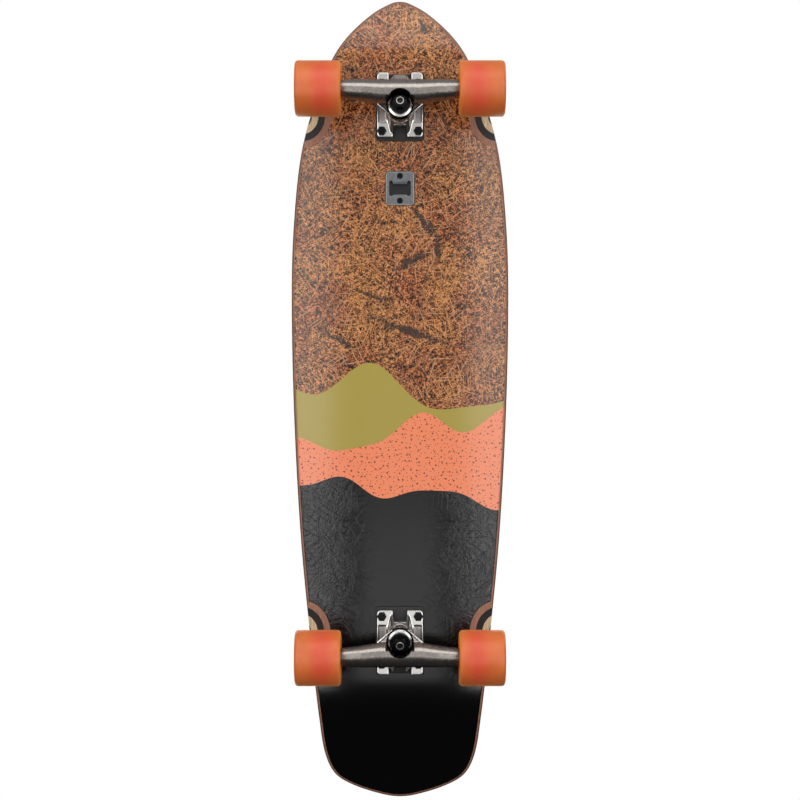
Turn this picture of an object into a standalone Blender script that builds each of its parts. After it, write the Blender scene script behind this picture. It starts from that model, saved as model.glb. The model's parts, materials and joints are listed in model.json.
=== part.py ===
"""Cruiser skateboard: a pointed-nose deck with a kick tail, two kingpin trucks and four soft wheels.

Metres. +Y is the nose, +X the right-hand side seen from above and +Z up. The origin is on the ground
under the middle of the deck. A truck is built in its own frame, whose origin is the middle of its four
bolts on the deck's underside, with +Y towards the nearer end of the deck.
"""

import math

import bmesh
import bpy
from mathutils import Matrix, Vector

# Fits
GAP = 0.0003

# Deck
DECK_LENGTH = 0.9144
DECK_WIDTH = 0.24765
DECK_THICKNESS = 0.0110
DECK_EDGE_RADIUS = 0.0030
CONCAVE_RISE = 0.0070
FLAT_WIDTH = 0.0600
NOSE_ANGLE = math.radians(16)
NOSE_BEND = 0.040
TAIL_ANGLE = math.radians(14)
TAIL_BEND = 0.050
BEND_CLEARANCE = 0.003

# The side of the deck, from the nose tip back: share of the half width, share of the nose's length
NOSE_LENGTH = 0.1145
NOSE_CURVE = (
    (0.000, 0.000),
    (0.074, 0.015),
    (0.245, 0.121),
    (0.466, 0.345),
    (0.620, 0.588),
    (0.776, 1.000),
)
# The middle: share of the half width, share of the way from the nose tip to the tail tip
WAIST_CURVE = (
    (0.911, 0.193),
    (0.981, 0.283),
    (1.000, 0.372),
    (0.978, 0.517),
    (0.915, 0.672),
    (0.820, 0.806),
)
# The tail, front to back: share of the half width, share of the tail's length from its tip
TAIL_LENGTH = 0.0920
TAIL_CURVE = (
    (0.745, 1.000),
    (0.694, 0.557),
    (0.602, 0.297),
    (0.430, 0.149),
    (0.155, 0.027),
    (0.000, 0.000),
)

# Grip tape
GRIP_THICKNESS = 0.0009
GRIP_INSET = 0.0022

# Wheel wells: shallow cones whose middles stand off the deck's edge
WELL_RADIUS = 0.0390
WELL_SLOPE = math.radians(11.3)
WELL_PAST_EDGE = 0.0140
WELL_INWARD = 0.0217

# Truck bolts
BOLT_SPACING_LONG = 0.05398
BOLT_SPACING_WIDE = 0.04128
WHEELBASE = 0.5493
NOSE_TO_INNER_BOLTS = 0.1529
BOLT_RADIUS = 0.0024
BOLT_LENGTH = 0.0286
BOLT_HEAD_RADIUS = 0.00465
BOLT_HEAD_RIM = 0.0004
BOLT_HEAD_DEPTH = 0.0024
LOCK_NUT_FLATS = 0.0095
LOCK_NUT_HEIGHT = 0.0050

# Riser pad
RISER_THICKNESS = 0.0030
RISER_WIDTH = 0.0550
RISER_PAST_PLATE_INNER = 0.0036
RISER_PAST_PLATE_OUTER = 0.0008
RISER_CORNER = 0.0040
RISER_NOTCH_DEPTH = 0.0020

# Baseplate
PLATE_THICKNESS = 0.0060
PLATE_WIDTH = 0.0520
PLATE_PAST_INNER_BOLTS = 0.0065
PLATE_PAST_OUTER_BOLTS = 0.0127
PLATE_CORNER = 0.0036
PLATE_EDGE = 0.0008
CHANNEL_MOUTH = 0.0175
CHANNEL_WIDTH = 0.0150
CHANNEL_LENGTH = 0.0117
NOTCH_WIDTH = 0.0256
PLATE_NOTCH_DEPTH = 0.0075
PAD_LENGTH = 0.0330
PAD_WIDTH = 0.0090
PAD_DEPTH = 0.0007
PAD_IN_FROM_SIDE = 0.0014
PAD_CORNER = 0.0015
TOWER_RADIUS = 0.0128
TOWER_FOOT_WIDTH = 0.0298
TOWER_TAIL_WIDTH = 0.0196
TOWER_TAIL_LENGTH = 0.0200
TOWER_FRONT_LENGTH = 0.0150
HOUSING_SIDE_WALL = 0.0023
HOUSING_CROWN_WALL = 0.0016
HOUSING_END_WIDTH = 0.0133
HOUSING_SHOULDER = 0.0030
HOUSING_FOOT_WIDTH = 0.0240
HOUSING_FOOT_TAPER = 0.0050
HOUSING_FOOT_LENGTH = 0.0300
HOUSING_TOE = 0.0030

# Kingpin stack, along the kingpin from the middle of the hanger's ring
AXLE_DROP = 0.0560
AXLE_OUT = 0.0143
RING_DROP = 0.0398
RING_IN = 0.0034
KINGPIN_LEAN = math.radians(11.5)
KINGPIN_RADIUS = 0.00475
KINGPIN_PROUD = 0.0010
KINGPIN_HEAD_RADIUS = 0.0076
KINGPIN_HEAD_HEIGHT = 0.0060
KINGPIN_HEAD_COVER = 0.0116
KINGPIN_NUT_FLATS = 0.0143
KINGPIN_NUT_HEIGHT = 0.0068
RING_RADIUS = 0.0164
RING_RIM_HEIGHT = 0.0027
RING_WEB = 0.0064
RING_BORE = 0.0075
RING_CHAMFER = 0.0010
SEAT_RADIUS = 0.0132
BUSHING_RADIUS = 0.0121
BUSHING_BULGE = 0.0005
LOWER_BUSHING_HEIGHT = 0.0120
UPPER_BUSHING_HEIGHT = 0.0074
UPPER_BUSHING_TOP_RADIUS = 0.0110
LOWER_WASHER_RADIUS = 0.0122
UPPER_WASHER_RADIUS = 0.0112
WASHER_THICKNESS = 0.0015
WASHER_LIP = 0.0006

# Hanger
STEER_ANGLE = math.radians(38)
HANGER_WIDTH = 0.1520
BAR_END_RADIUS = 0.0096
BAR_SHOULDER_RADIUS = 0.0121
BAR_SHOULDER_X = 0.0430
BAR_SHOULDER_IN = 0.0015
BAR_SHOULDER_UP = 0.0010
BAR_MIDDLE_RADIUS = 0.0138
BAR_MIDDLE_X = 0.0230
BAR_MIDDLE_IN = 0.0030
BAR_MIDDLE_UP = 0.0034
YOKE_SPREAD = 0.0255
YOKE_BEHIND_AXLE = 0.0165
YOKE_DEPTH = 0.0120
PIVOT_LENGTH = 0.0390
PIVOT_TIP_RADIUS = 0.0048
PIVOT_ROOT_RADIUS = 0.0092
PIVOT_TAPER_FROM = 0.0100
PIVOT_TAPER_TO = 0.0300
RIB_THICKNESS = 0.0070
SWING_CLEARANCE = 0.0024
NUT_CLEARANCE = 0.0014
NUT_SWING = 0.0065
NUT_POCKET_DRAFT = 0.0015
SPANNER_RADIUS = 0.0138
SPANNER_OUT = 0.0012
SPANNER_DRAFT = 0.0010
SPANNER_FLOOR = 0.0009

# Pivot cup
CUP_DEPTH = 0.0067
CUP_WALL = 0.0026
CUP_FLOOR = 0.0018

# Axle and what it carries, outwards from the end of the hanger
AXLE_RADIUS = 0.0040
AXLE_PROUD = 0.0014
SPEED_WASHER_RADIUS = 0.0057
SPEED_WASHER_THICKNESS = 0.0008
BEARING_RADIUS = 0.0110
BEARING_WIDTH = 0.0070
BEARING_RACE = 0.0022
BEARING_SHIELD_DEPTH = 0.0006
SPACER_LENGTH = 0.0100
SPACER_RADIUS = 0.0053
AXLE_NUT_FLATS = 0.0127
AXLE_NUT_HEIGHT = 0.0065

# Wheel
WHEEL_RADIUS = 0.0310
WHEEL_WIDTH = 0.0510
WHEEL_INNER_FACE_X = 0.0655
WHEEL_LIP = 0.0040
WHEEL_RECESS_IN = 0.0215
WHEEL_RECESS_OUT = 0.0240
CORE_RADIUS = 0.0178
CORE_END_RADIUS = 0.0150
CORE_FLANGE = 0.0040
CORE_PAST_BEARINGS = 0.0012
CORE_SHOULDER = 0.0022

# Bottle opener let into the underside
OPENER_WIDTH = 0.0322
OPENER_LENGTH = 0.0380
OPENER_CORNER = 0.0034
OPENER_THICKNESS = 0.0062
OPENER_BEHIND_INNER_BOLTS = 0.0635
OPENER_SCREW_SPACING = 0.0282
OPENER_SCREW_HEAD = 0.0034
OPENER_SCREW_HEAD_DEPTH = 0.0017
OPENER_SCREW_RADIUS = 0.0015
OPENER_SCREW_LENGTH = 0.0085
RECESS_LENGTH = 0.0245
RECESS_WIDTH = 0.0173
RECESS_DEPTH = 0.0049
RECESS_LOBE = 0.0048
RECESS_CORNER = 0.0014
TOOTH_REACH = 0.0040
TOOTH_THICKNESS = 0.0016
REST_REACH = 0.0015

# Facets. Pieces that fit round one another have the same number, or a multiple of it.
WHEEL_STEPS = 24
HUB_STEPS = 12
PIN_STEPS = 12
BUSHING_STEPS = 16
RING_STEPS = 24
BOLT_STEPS = 10
BAR_STEPS = 16
WELL_STEPS = 72
CORNER_STEPS = 3
EDGE_STEPS = 2
SIDE_STEPS = 2
CONCAVE_STEPS = 3
BEND_STEPS = 3
MIDDLE_STEPS = 3
TIP_STEPS = 3
SMOOTH_ANGLE = math.radians(35)

# What the viewport shows of a frame without a shape of its own
FRAME_MARK = 0.020

# Worked out from the sizes above
DECK_UNDERSIDE = WHEEL_RADIUS + AXLE_DROP
DECK_TOP = DECK_UNDERSIDE + DECK_THICKNESS
GRIP_TOP = DECK_TOP + GAP + GRIP_THICKNESS
HALF_WIDTH = DECK_WIDTH / 2
HALF_LENGTH = DECK_LENGTH / 2
FRONT_TRUCK_Y = HALF_LENGTH - NOSE_TO_INNER_BOLTS + BOLT_SPACING_LONG / 2
REAR_TRUCK_Y = FRONT_TRUCK_Y - WHEELBASE - BOLT_SPACING_LONG
PLATE_INNER = -(BOLT_SPACING_LONG / 2 + PLATE_PAST_INNER_BOLTS)
PLATE_OUTER = BOLT_SPACING_LONG / 2 + PLATE_PAST_OUTER_BOLTS
RISER_OUTER = PLATE_OUTER + RISER_PAST_PLATE_OUTER
RISER_INNER = PLATE_INNER - RISER_PAST_PLATE_INNER
PLATE_TOP = -(GAP + RISER_THICKNESS + GAP)
PLATE_FACE = PLATE_TOP - PLATE_THICKNESS
NOSE_BEND_Y = FRONT_TRUCK_Y + RISER_OUTER + BEND_CLEARANCE
TAIL_BEND_Y = REAR_TRUCK_Y - RISER_OUTER - BEND_CLEARANCE
RING_CENTRE = Vector((0, -RING_IN, -RING_DROP))
AXLE_CENTRE = Vector((0, AXLE_OUT, -AXLE_DROP))
KINGPIN_FRAME = Matrix.Translation(RING_CENTRE) @ Matrix.Rotation(math.pi + KINGPIN_LEAN, 4, "X")
STEER_FRAME = Matrix.Translation(RING_CENTRE) @ Matrix.Rotation(STEER_ANGLE - math.pi / 2, 4, "X")
AXLE_FRAME = Matrix.Translation(AXLE_CENTRE) @ Matrix.Rotation(math.pi / 2, 4, "Y")

# Heights on the kingpin, from the middle of the ring
RING_FACE = RING_WEB / 2
RING_TOP = RING_FACE + RING_RIM_HEIGHT
UPPER_BUSHING_FROM = RING_FACE + GAP
UPPER_BUSHING_TO = UPPER_BUSHING_FROM + UPPER_BUSHING_HEIGHT
UPPER_WASHER_FROM = UPPER_BUSHING_TO + GAP
KINGPIN_NUT_FROM = UPPER_WASHER_FROM + WASHER_THICKNESS + GAP
KINGPIN_TIP = KINGPIN_NUT_FROM + KINGPIN_NUT_HEIGHT + KINGPIN_PROUD
LOWER_BUSHING_FROM = -RING_FACE - GAP - LOWER_BUSHING_HEIGHT
LOWER_WASHER_FROM = LOWER_BUSHING_FROM - GAP - WASHER_THICKNESS
TOWER_SEAT = LOWER_WASHER_FROM - GAP
KINGPIN_HEAD_TOP = TOWER_SEAT - KINGPIN_HEAD_COVER

# Depths on the steering axis, from the middle of the ring towards the pivot
CUP_MOUTH = PIVOT_LENGTH - CUP_DEPTH
CUP_END = PIVOT_LENGTH + GAP + CUP_FLOOR
CUP_RADIUS = PIVOT_TIP_RADIUS + GAP + CUP_WALL
HOUSING_SIDE = CUP_RADIUS + GAP + HOUSING_SIDE_WALL
HOUSING_CROWN = CUP_RADIUS + GAP + HOUSING_CROWN_WALL
HOUSING_MOUTH = CUP_MOUTH - GAP
HOUSING_END = CUP_END + GAP + GAP

# Places on the axle, from the middle of the board
HANGER_END = HANGER_WIDTH / 2
INNER_WASHER_FROM = HANGER_END + GAP
INNER_BEARING_FROM = INNER_WASHER_FROM + SPEED_WASHER_THICKNESS + GAP
SPACER_FROM = INNER_BEARING_FROM + BEARING_WIDTH + GAP
OUTER_BEARING_FROM = SPACER_FROM + SPACER_LENGTH + GAP
OUTER_WASHER_FROM = OUTER_BEARING_FROM + BEARING_WIDTH + GAP
AXLE_NUT_FROM = OUTER_WASHER_FROM + SPEED_WASHER_THICKNESS + GAP
AXLE_END = AXLE_NUT_FROM + AXLE_NUT_HEIGHT + AXLE_PROUD
WHEEL_OUTER_FACE_X = WHEEL_INNER_FACE_X + WHEEL_WIDTH
CORE_FROM = INNER_BEARING_FROM - CORE_PAST_BEARINGS
CORE_TO = OUTER_BEARING_FROM + BEARING_WIDTH + CORE_PAST_BEARINGS

# Bottle opener
OPENER_Y = HALF_LENGTH - NOSE_TO_INNER_BOLTS - OPENER_BEHIND_INNER_BOLTS

# Colours: base colour, roughness, metallic
COLOURS = {
    "fibre_veneer": ((0.30, 0.14, 0.065), 0.35, 0.0),
    "grip": ((0.035, 0.038, 0.045), 0.85, 0.0),
    "cast_silver": ((0.62, 0.60, 0.57), 0.35, 1.0),
    "gunmetal": ((0.085, 0.080, 0.078), 0.40, 0.8),
    "black_steel": ((0.02, 0.02, 0.02), 0.40, 0.6),
    "bright_steel": ((0.70, 0.70, 0.70), 0.25, 1.0),
    "black_rubber": ((0.015, 0.015, 0.015), 0.70, 0.0),
    "black_urethane": ((0.02, 0.02, 0.02), 0.50, 0.0),
    "orange_urethane": ((0.72, 0.18, 0.05), 0.30, 0.0),
    "core": ((0.70, 0.08, 0.05), 0.40, 0.0),
    "opener_steel": ((0.28, 0.29, 0.29), 0.40, 0.9),
}


# Scene

def clear_scene():
    for obj in list(bpy.data.objects):
        bpy.data.objects.remove(obj)


def new_collection(name):
    collection = bpy.data.collections.new(name)
    bpy.context.scene.collection.children.link(collection)
    return collection


def make_materials():
    made = {}
    for name, (colour, roughness, metallic) in COLOURS.items():
        material = bpy.data.materials.new(name)
        material.use_nodes = True
        shader = material.node_tree.nodes["Principled BSDF"]
        shader.inputs["Base Color"].default_value = (*colour, 1)
        shader.inputs["Roughness"].default_value = roughness
        shader.inputs["Metallic"].default_value = metallic
        made[name] = material
    return made


clear_scene()
BOARD = new_collection("cruiser_skateboard")
CUTTERS = new_collection("cutters")
MATERIALS = make_materials()


# Shapes. Each one is a helper object in the cutters' collection until it is used or finished.

def helper(data):
    obj = bpy.data.objects.new("helper", data)
    obj.hide_render = True
    obj.display_type = "WIRE"
    CUTTERS.objects.link(obj)
    return obj


def helper_from(bm):
    bmesh.ops.recalc_face_normals(bm, faces=bm.faces)
    mesh = bpy.data.meshes.new("helper")
    bm.to_mesh(mesh)
    bm.free()
    return helper(mesh)


def bake(obj):
    """Makes the object's modifiers, or its curve, part of a plain mesh."""
    bpy.context.view_layer.update()
    graph = bpy.context.evaluated_depsgraph_get()
    mesh = bpy.data.meshes.new_from_object(obj.evaluated_get(graph))
    baked = helper(mesh)
    bpy.data.objects.remove(obj)
    return baked


def edit(obj, *steps):
    """Runs each step on the object's mesh as a bmesh."""
    bm = bmesh.new()
    bm.from_mesh(obj.data)
    for step in steps:
        step(bm)
    bm.to_mesh(obj.data)
    bm.free()
    return obj


def weld(bm):
    bmesh.ops.remove_doubles(bm, verts=bm.verts, dist=1e-6)
    bmesh.ops.recalc_face_normals(bm, faces=bm.faces)


def moved(obj, matrix):
    obj.data.transform(matrix)
    return obj


def copy_of(obj, matrix=None):
    twin = helper(obj.data.copy())
    return moved(twin, matrix) if matrix else twin


def turned(profile, steps):
    """A closed profile of (radius, height) points turned about Z."""
    bm = bmesh.new()
    corners = [bm.verts.new((radius, 0, height)) for radius, height in profile]
    for here, there in zip(corners, corners[1:] + corners[:1]):
        if here.co.x > 0 or there.co.x > 0:
            bm.edges.new((here, there))
    mesh = bpy.data.meshes.new("profile")
    bm.to_mesh(mesh)
    bm.free()
    obj = helper(mesh)
    screw = obj.modifiers.new("turn", "SCREW")
    screw.steps = steps
    screw.render_steps = steps
    screw.use_merge_vertices = True
    screw.merge_threshold = 1e-5
    return edit(bake(obj), weld)


def cylinder(radius, low, high, steps):
    return turned(((radius, high), (radius, low), (0, low), (0, high)), steps)


def slab(outline, low, high):
    """A flat outline of (x, y) points, filled and raised from low to high."""
    curve = bpy.data.curves.new("outline", "CURVE")
    curve.dimensions = "2D"
    curve.fill_mode = "BOTH"
    curve.extrude = (high - low) / 2
    spline = curve.splines.new("POLY")
    spline.points.add(len(outline) - 1)
    for point, (x, y) in zip(spline.points, outline):
        point.co = (x, y, 0, 1)
    spline.use_cyclic_u = True
    obj = edit(bake(helper(curve)), weld, join_flat_faces)
    return moved(obj, Matrix.Translation((0, 0, (high + low) / 2)))


def join_flat_faces(bm):
    flat = [edge for edge in bm.edges if edge.is_manifold and edge.calc_face_angle() < 1e-4]
    bmesh.ops.dissolve_edges(bm, edges=flat, use_verts=False)


def hull(points):
    bm = bmesh.new()
    for point in points:
        bm.verts.new(point)
    made = bmesh.ops.convex_hull(bm, input=bm.verts)
    inside = [item for item in made["geom_interior"] if isinstance(item, bmesh.types.BMVert)]
    bmesh.ops.delete(bm, geom=inside, context="VERTS")
    return helper_from(bm)


def prism(flats, low, high):
    """A hexagon of the given width across flats."""
    corner = flats / 2 / math.cos(math.pi / 6)
    return cylinder(corner, low, high, 6)


def bevelled(obj, width, segments, angle=math.radians(40)):
    bevel = obj.modifiers.new("edges", "BEVEL")
    bevel.width = width
    bevel.segments = segments
    bevel.limit_method = "ANGLE"
    bevel.angle_limit = angle
    bevel.use_clamp_overlap = False
    return bake(obj)


def combined(base, operation, tools):
    for tool in tools:
        modifier = base.modifiers.new(operation.lower(), "BOOLEAN")
        modifier.operation = operation
        modifier.object = tool
    result = bake(base)
    for tool in tools:
        bpy.data.objects.remove(tool)
    return result


def cut(base, *tools):
    return combined(base, "DIFFERENCE", tools)


def join(base, *tools):
    return combined(base, "UNION", tools)


def circle(radius, height, steps):
    turns = [2 * math.pi * step / steps for step in range(steps)]
    return [Vector((radius * math.cos(turn), radius * math.sin(turn), height)) for turn in turns]


def rounded_rectangle(low, high, radius, arc_steps=CORNER_STEPS):
    """The corners of a rectangle from low to high, (x, y) each, with rounded corners."""
    outline = []
    corners = (
        (high[0] - radius, high[1] - radius, 0),
        (low[0] + radius, high[1] - radius, 1),
        (low[0] + radius, low[1] + radius, 2),
        (high[0] - radius, low[1] + radius, 3),
    )
    for x, y, quarter in corners:
        for step in range(arc_steps + 1):
            turn = (quarter + step / arc_steps) * math.pi / 2
            outline.append((x + radius * math.cos(turn), y + radius * math.sin(turn)))
    return outline


# Assembly

def finish(name, shape, material, parent=None, matrix=None):
    """Puts a copy of a helper's mesh in the board as a named piece, placed under its parent."""
    if not shape.data.materials:
        shape.data.materials.append(MATERIALS[material])
        shape.data.shade_smooth()
        shape.data.set_sharp_from_angle(angle=SMOOTH_ANGLE)
    piece = bpy.data.objects.new(name, shape.data)
    BOARD.objects.link(piece)
    piece.parent = parent
    piece.matrix_basis = matrix or Matrix()
    return piece


def empty(name, parent, matrix):
    frame = bpy.data.objects.new(name, None)
    frame.empty_display_size = FRAME_MARK
    BOARD.objects.link(frame)
    frame.parent = parent
    frame.matrix_basis = matrix
    return frame


# Deck and grip tape

def spline_through(points):
    """SIDE_STEPS points on each span of a smooth curve through the given points."""
    ends = [Vector((-points[1].x, points[1].y)), *points, Vector((-points[-2].x, points[-2].y))]
    curve = []
    for before, here, there, after in zip(ends, ends[1:], ends[2:], ends[3:]):
        step = (there - here).length
        lead_in = (there - before) / ((here - before).length + step) * step
        lead_out = (after - here) / (step + (after - there).length) * step
        for index in range(SIDE_STEPS):
            t = index / SIDE_STEPS
            curve.append(
                here * (2 * t**3 - 3 * t**2 + 1)
                + lead_in * (t**3 - 2 * t**2 + t)
                + there * (3 * t**2 - 2 * t**3)
                + lead_out * (t**3 - t**2)
            )
    return curve + [points[-1]]


def deck_side():
    """The right-hand side of the deck from the nose tip to the tail tip."""
    places = [(share, HALF_LENGTH - back * NOSE_LENGTH) for share, back in NOSE_CURVE]
    places += [(share, HALF_LENGTH - back * DECK_LENGTH) for share, back in WAIST_CURVE]
    places += [(share, forward * TAIL_LENGTH - HALF_LENGTH) for share, forward in TAIL_CURVE]
    return spline_through([Vector((share * HALF_WIDTH, y)) for share, y in places])


def deck_outline(inset):
    right = deck_side()
    left = [Vector((-point.x, point.y)) for point in reversed(right[1:-1])]
    ring = right + left
    outline = []
    for before, here, after in zip(ring[-1:] + ring[:-1], ring, ring[1:] + ring[:1]):
        along = (after - before).normalized()
        outline.append(here - inset * Vector((-along.y, along.x)))
    return [(point.x, point.y) for point in outline]


def half_width_at(y):
    side = deck_side()
    for here, there in zip(side, side[1:]):
        if there.y <= y <= here.y:
            return here.x + (there.x - here.x) * (here.y - y) / (here.y - there.y)
    return 0


def kick(past, bend, angle):
    """How far the deck has risen at a distance past the start of a bend."""
    rise = math.tan(angle)
    if past <= 0:
        return 0
    if past < bend:
        return rise * past * past / (2 * bend)
    return rise * (past - bend / 2)


def lift(x, y):
    """How far the pressed deck stands above its flat middle."""
    from_flat = max(0, abs(x) - FLAT_WIDTH / 2) / (HALF_WIDTH - FLAT_WIDTH / 2)
    nose = kick(y - NOSE_BEND_Y, NOSE_BEND, NOSE_ANGLE)
    tail = kick(TAIL_BEND_Y - y, TAIL_BEND, TAIL_ANGLE)
    return CONCAVE_RISE * from_flat**2 + nose + tail


def press(bm):
    """Slices a flat sheet across its bends and lifts it to the pressed shape."""
    outer = HALF_WIDTH - FLAT_WIDTH / 2
    middle = NOSE_BEND_Y - TAIL_BEND_Y
    across = [
        side * (FLAT_WIDTH / 2 + outer * step / CONCAVE_STEPS) for side in (-1, 1) for step in range(CONCAVE_STEPS)
    ]
    along = [NOSE_BEND_Y + NOSE_BEND * step / BEND_STEPS for step in range(BEND_STEPS + 1)]
    along += [TAIL_BEND_Y - TAIL_BEND * step / BEND_STEPS for step in range(BEND_STEPS + 1)]
    along += [TAIL_BEND_Y + middle * step / MIDDLE_STEPS for step in range(1, MIDDLE_STEPS)]
    for place, normal in [((x, 0, 0), (1, 0, 0)) for x in across] + [((0, y, 0), (0, 1, 0)) for y in along]:
        everything = bm.verts[:] + bm.edges[:] + bm.faces[:]
        bmesh.ops.bisect_plane(bm, geom=everything, dist=1e-6, plane_co=place, plane_no=normal)
    bmesh.ops.triangulate(bm, faces=bm.faces[:])
    for vert in bm.verts:
        vert.co.z += lift(vert.co.x, vert.co.y)


def well_cutter(side, truck_y, outward):
    """A cone on the deck's underside, tilted with it, whose tip stands past the deck's edge."""
    y = truck_y + outward * (AXLE_OUT - WELL_INWARD)
    edge = half_width_at(y)
    middle = edge + WELL_PAST_EDGE
    inner = middle - WELL_RADIUS
    rise = (lift(edge, y) - lift(inner, y)) / (edge - inner)
    profile = (
        (0, WELL_RADIUS * math.tan(WELL_SLOPE)),
        (WELL_RADIUS, 0),
        (WELL_RADIUS, -DECK_THICKNESS),
        (0, -DECK_THICKNESS),
    )
    cone = moved(turned(profile, WELL_STEPS), Matrix.Rotation(-side * math.atan(rise), 4, "Y"))
    height = DECK_UNDERSIDE + lift(inner, y) + rise * WELL_RADIUS
    return moved(cone, Matrix.Translation((side * middle, y, height)))


def bolt_places():
    """Where the eight bolts stand, as (name, x, y)."""
    for end, truck_y, outward in (("front", FRONT_TRUCK_Y, 1), ("rear", REAR_TRUCK_Y, -1)):
        for row, along in (("outer", 1), ("inner", -1)):
            for side, across in (("left", -1), ("right", 1)):
                y = truck_y + outward * along * BOLT_SPACING_LONG / 2
                yield f"{end}_bolt_{row}_{side}", across * BOLT_SPACING_WIDE / 2, y


def bolt_profile(grown=0.0):
    """A countersunk bolt, head up at GRIP_TOP, grown all round by a clearance."""
    head = BOLT_HEAD_RADIUS + grown
    shank = BOLT_RADIUS + grown
    rim = GRIP_TOP - BOLT_HEAD_RIM - grown
    neck = GRIP_TOP - BOLT_HEAD_DEPTH - grown
    end = GRIP_TOP - BOLT_LENGTH - grown
    top = GRIP_TOP + grown
    return (head, top), (head, rim), (shank, neck), (shank, end), (0, end), (0, top)


def bolt_clearances():
    hole = turned(bolt_profile(GAP), BOLT_STEPS)
    holes = [copy_of(hole, Matrix.Translation((x, y, 0))) for _, x, y in bolt_places()]
    bpy.data.objects.remove(hole)
    return holes


def opener_pocket():
    low = (-OPENER_WIDTH / 2 - GAP, OPENER_Y - OPENER_LENGTH / 2 - GAP)
    high = (OPENER_WIDTH / 2 + GAP, OPENER_Y + OPENER_LENGTH / 2 + GAP)
    outline = rounded_rectangle(low, high, OPENER_CORNER + GAP)
    return slab(outline, DECK_UNDERSIDE - DECK_EDGE_RADIUS, DECK_UNDERSIDE + OPENER_THICKNESS + GAP)


def opener_screw_places():
    for name, side in (("front", 1), ("rear", -1)):
        yield f"opener_screw_{name}", OPENER_Y + side * OPENER_SCREW_SPACING / 2


def opener_screw_profile(grown=0.0):
    """A countersunk screw, head down at the deck's underside."""
    head = OPENER_SCREW_HEAD + grown
    shank = OPENER_SCREW_RADIUS + grown
    face = DECK_UNDERSIDE - grown
    neck = DECK_UNDERSIDE + OPENER_SCREW_HEAD_DEPTH + grown
    end = DECK_UNDERSIDE + OPENER_SCREW_LENGTH + grown
    return (0, end), (shank, end), (shank, neck), (head, face), (0, face)


def opener_screw_clearances():
    hole = turned(opener_screw_profile(GAP), BOLT_STEPS)
    holes = [copy_of(hole, Matrix.Translation((0, y, 0))) for _, y in opener_screw_places()]
    bpy.data.objects.remove(hole)
    return holes


def make_deck():
    sheet = slab(deck_outline(0), DECK_UNDERSIDE, DECK_TOP)
    deck = edit(bevelled(sheet, DECK_EDGE_RADIUS, EDGE_STEPS), press)
    wells = [
        well_cutter(side, truck_y, outward)
        for truck_y, outward in ((FRONT_TRUCK_Y, 1), (REAR_TRUCK_Y, -1))
        for side in (-1, 1)
    ]
    deck = cut(deck, *wells)
    deck = cut(deck, *bolt_clearances(), opener_pocket(), *opener_screw_clearances())
    finish("deck", deck, "fibre_veneer")


def make_grip():
    sheet = slab(deck_outline(GRIP_INSET), DECK_TOP + GAP, GRIP_TOP)
    grip = cut(edit(sheet, press), *bolt_clearances())
    finish("grip_tape", grip, "grip")


# Bottle opener

def recess_outline():
    """The recess with a lobe at each corner, the tooth on the nose side and the rest opposite it."""
    half = RECESS_LENGTH / 2
    tooth = RECESS_LENGTH / 2 - RECESS_LOBE
    nose_side = OPENER_Y + RECESS_WIDTH / 2
    tail_side = OPENER_Y - RECESS_WIDTH / 2
    corner = RECESS_CORNER
    right = (
        (half, nose_side - corner),
        (half - corner, nose_side),
        (tooth + corner, nose_side),
        (tooth, nose_side - TOOTH_REACH),
    )
    back = (
        (tooth, tail_side + REST_REACH),
        (tooth + corner, tail_side),
        (half - corner, tail_side),
        (half, tail_side + corner),
    )
    left = [(-x, y) for x, y in reversed(right)]
    return [*right, *left, *[(-x, y) for x, y in reversed(back)], *back]


def make_opener():
    low = (-OPENER_WIDTH / 2, OPENER_Y - OPENER_LENGTH / 2)
    high = (OPENER_WIDTH / 2, OPENER_Y + OPENER_LENGTH / 2)
    plate = slab(
        rounded_rectangle(low, high, OPENER_CORNER), DECK_UNDERSIDE, DECK_UNDERSIDE + OPENER_THICKNESS
    )
    below = DECK_UNDERSIDE - OPENER_THICKNESS
    recess = slab(recess_outline(), below, DECK_UNDERSIDE + RECESS_DEPTH)
    undercut = slab(
        rounded_rectangle(
            (-RECESS_LENGTH / 2 + RECESS_LOBE / 2, OPENER_Y),
            (RECESS_LENGTH / 2 - RECESS_LOBE / 2, OPENER_Y + RECESS_WIDTH / 2 - TOOTH_REACH / 4),
            RECESS_LOBE / 4,
        ),
        DECK_UNDERSIDE + TOOTH_THICKNESS,
        DECK_UNDERSIDE + RECESS_DEPTH,
    )
    plate = cut(plate, join(recess, undercut), *opener_screw_clearances())
    finish("opener_plate", plate, "opener_steel")
    screw = turned(opener_screw_profile(), BOLT_STEPS)
    for name, y in opener_screw_places():
        finish(name, screw, "black_steel", matrix=Matrix.Translation((0, y, 0)))


# Mounting bolts

def make_bolts():
    nut_face = DECK_UNDERSIDE + PLATE_FACE - GAP
    nut = prism(LOCK_NUT_FLATS, nut_face - LOCK_NUT_HEIGHT, nut_face)
    bolt = join(turned(bolt_profile(), BOLT_STEPS), nut)
    for name, x, y in bolt_places():
        finish(name, bolt, "black_steel", matrix=Matrix.Translation((x, y, 0)))


# Truck pieces, each in the truck's frame or along its own axis

def truck_bolt_holes(radius):
    hole = cylinder(radius, PLATE_FACE - BOLT_LENGTH, PLATE_THICKNESS, BOLT_STEPS)
    places = [(x, y) for x in (-1, 1) for y in (-1, 1)]
    holes = [
        copy_of(hole, Matrix.Translation((x * BOLT_SPACING_WIDE / 2, y * BOLT_SPACING_LONG / 2, 0)))
        for x, y in places
    ]
    bpy.data.objects.remove(hole)
    return holes


def end_notch(end, depth):
    """The step between the two outer ears of the riser or the baseplate, whose outer end is given."""
    half = NOTCH_WIDTH / 2
    outline = ((half, end + depth), (-half, end + depth), (-half, end - depth), (half, end - depth))
    return slab(outline, PLATE_FACE - PLATE_THICKNESS, PLATE_THICKNESS)


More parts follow.
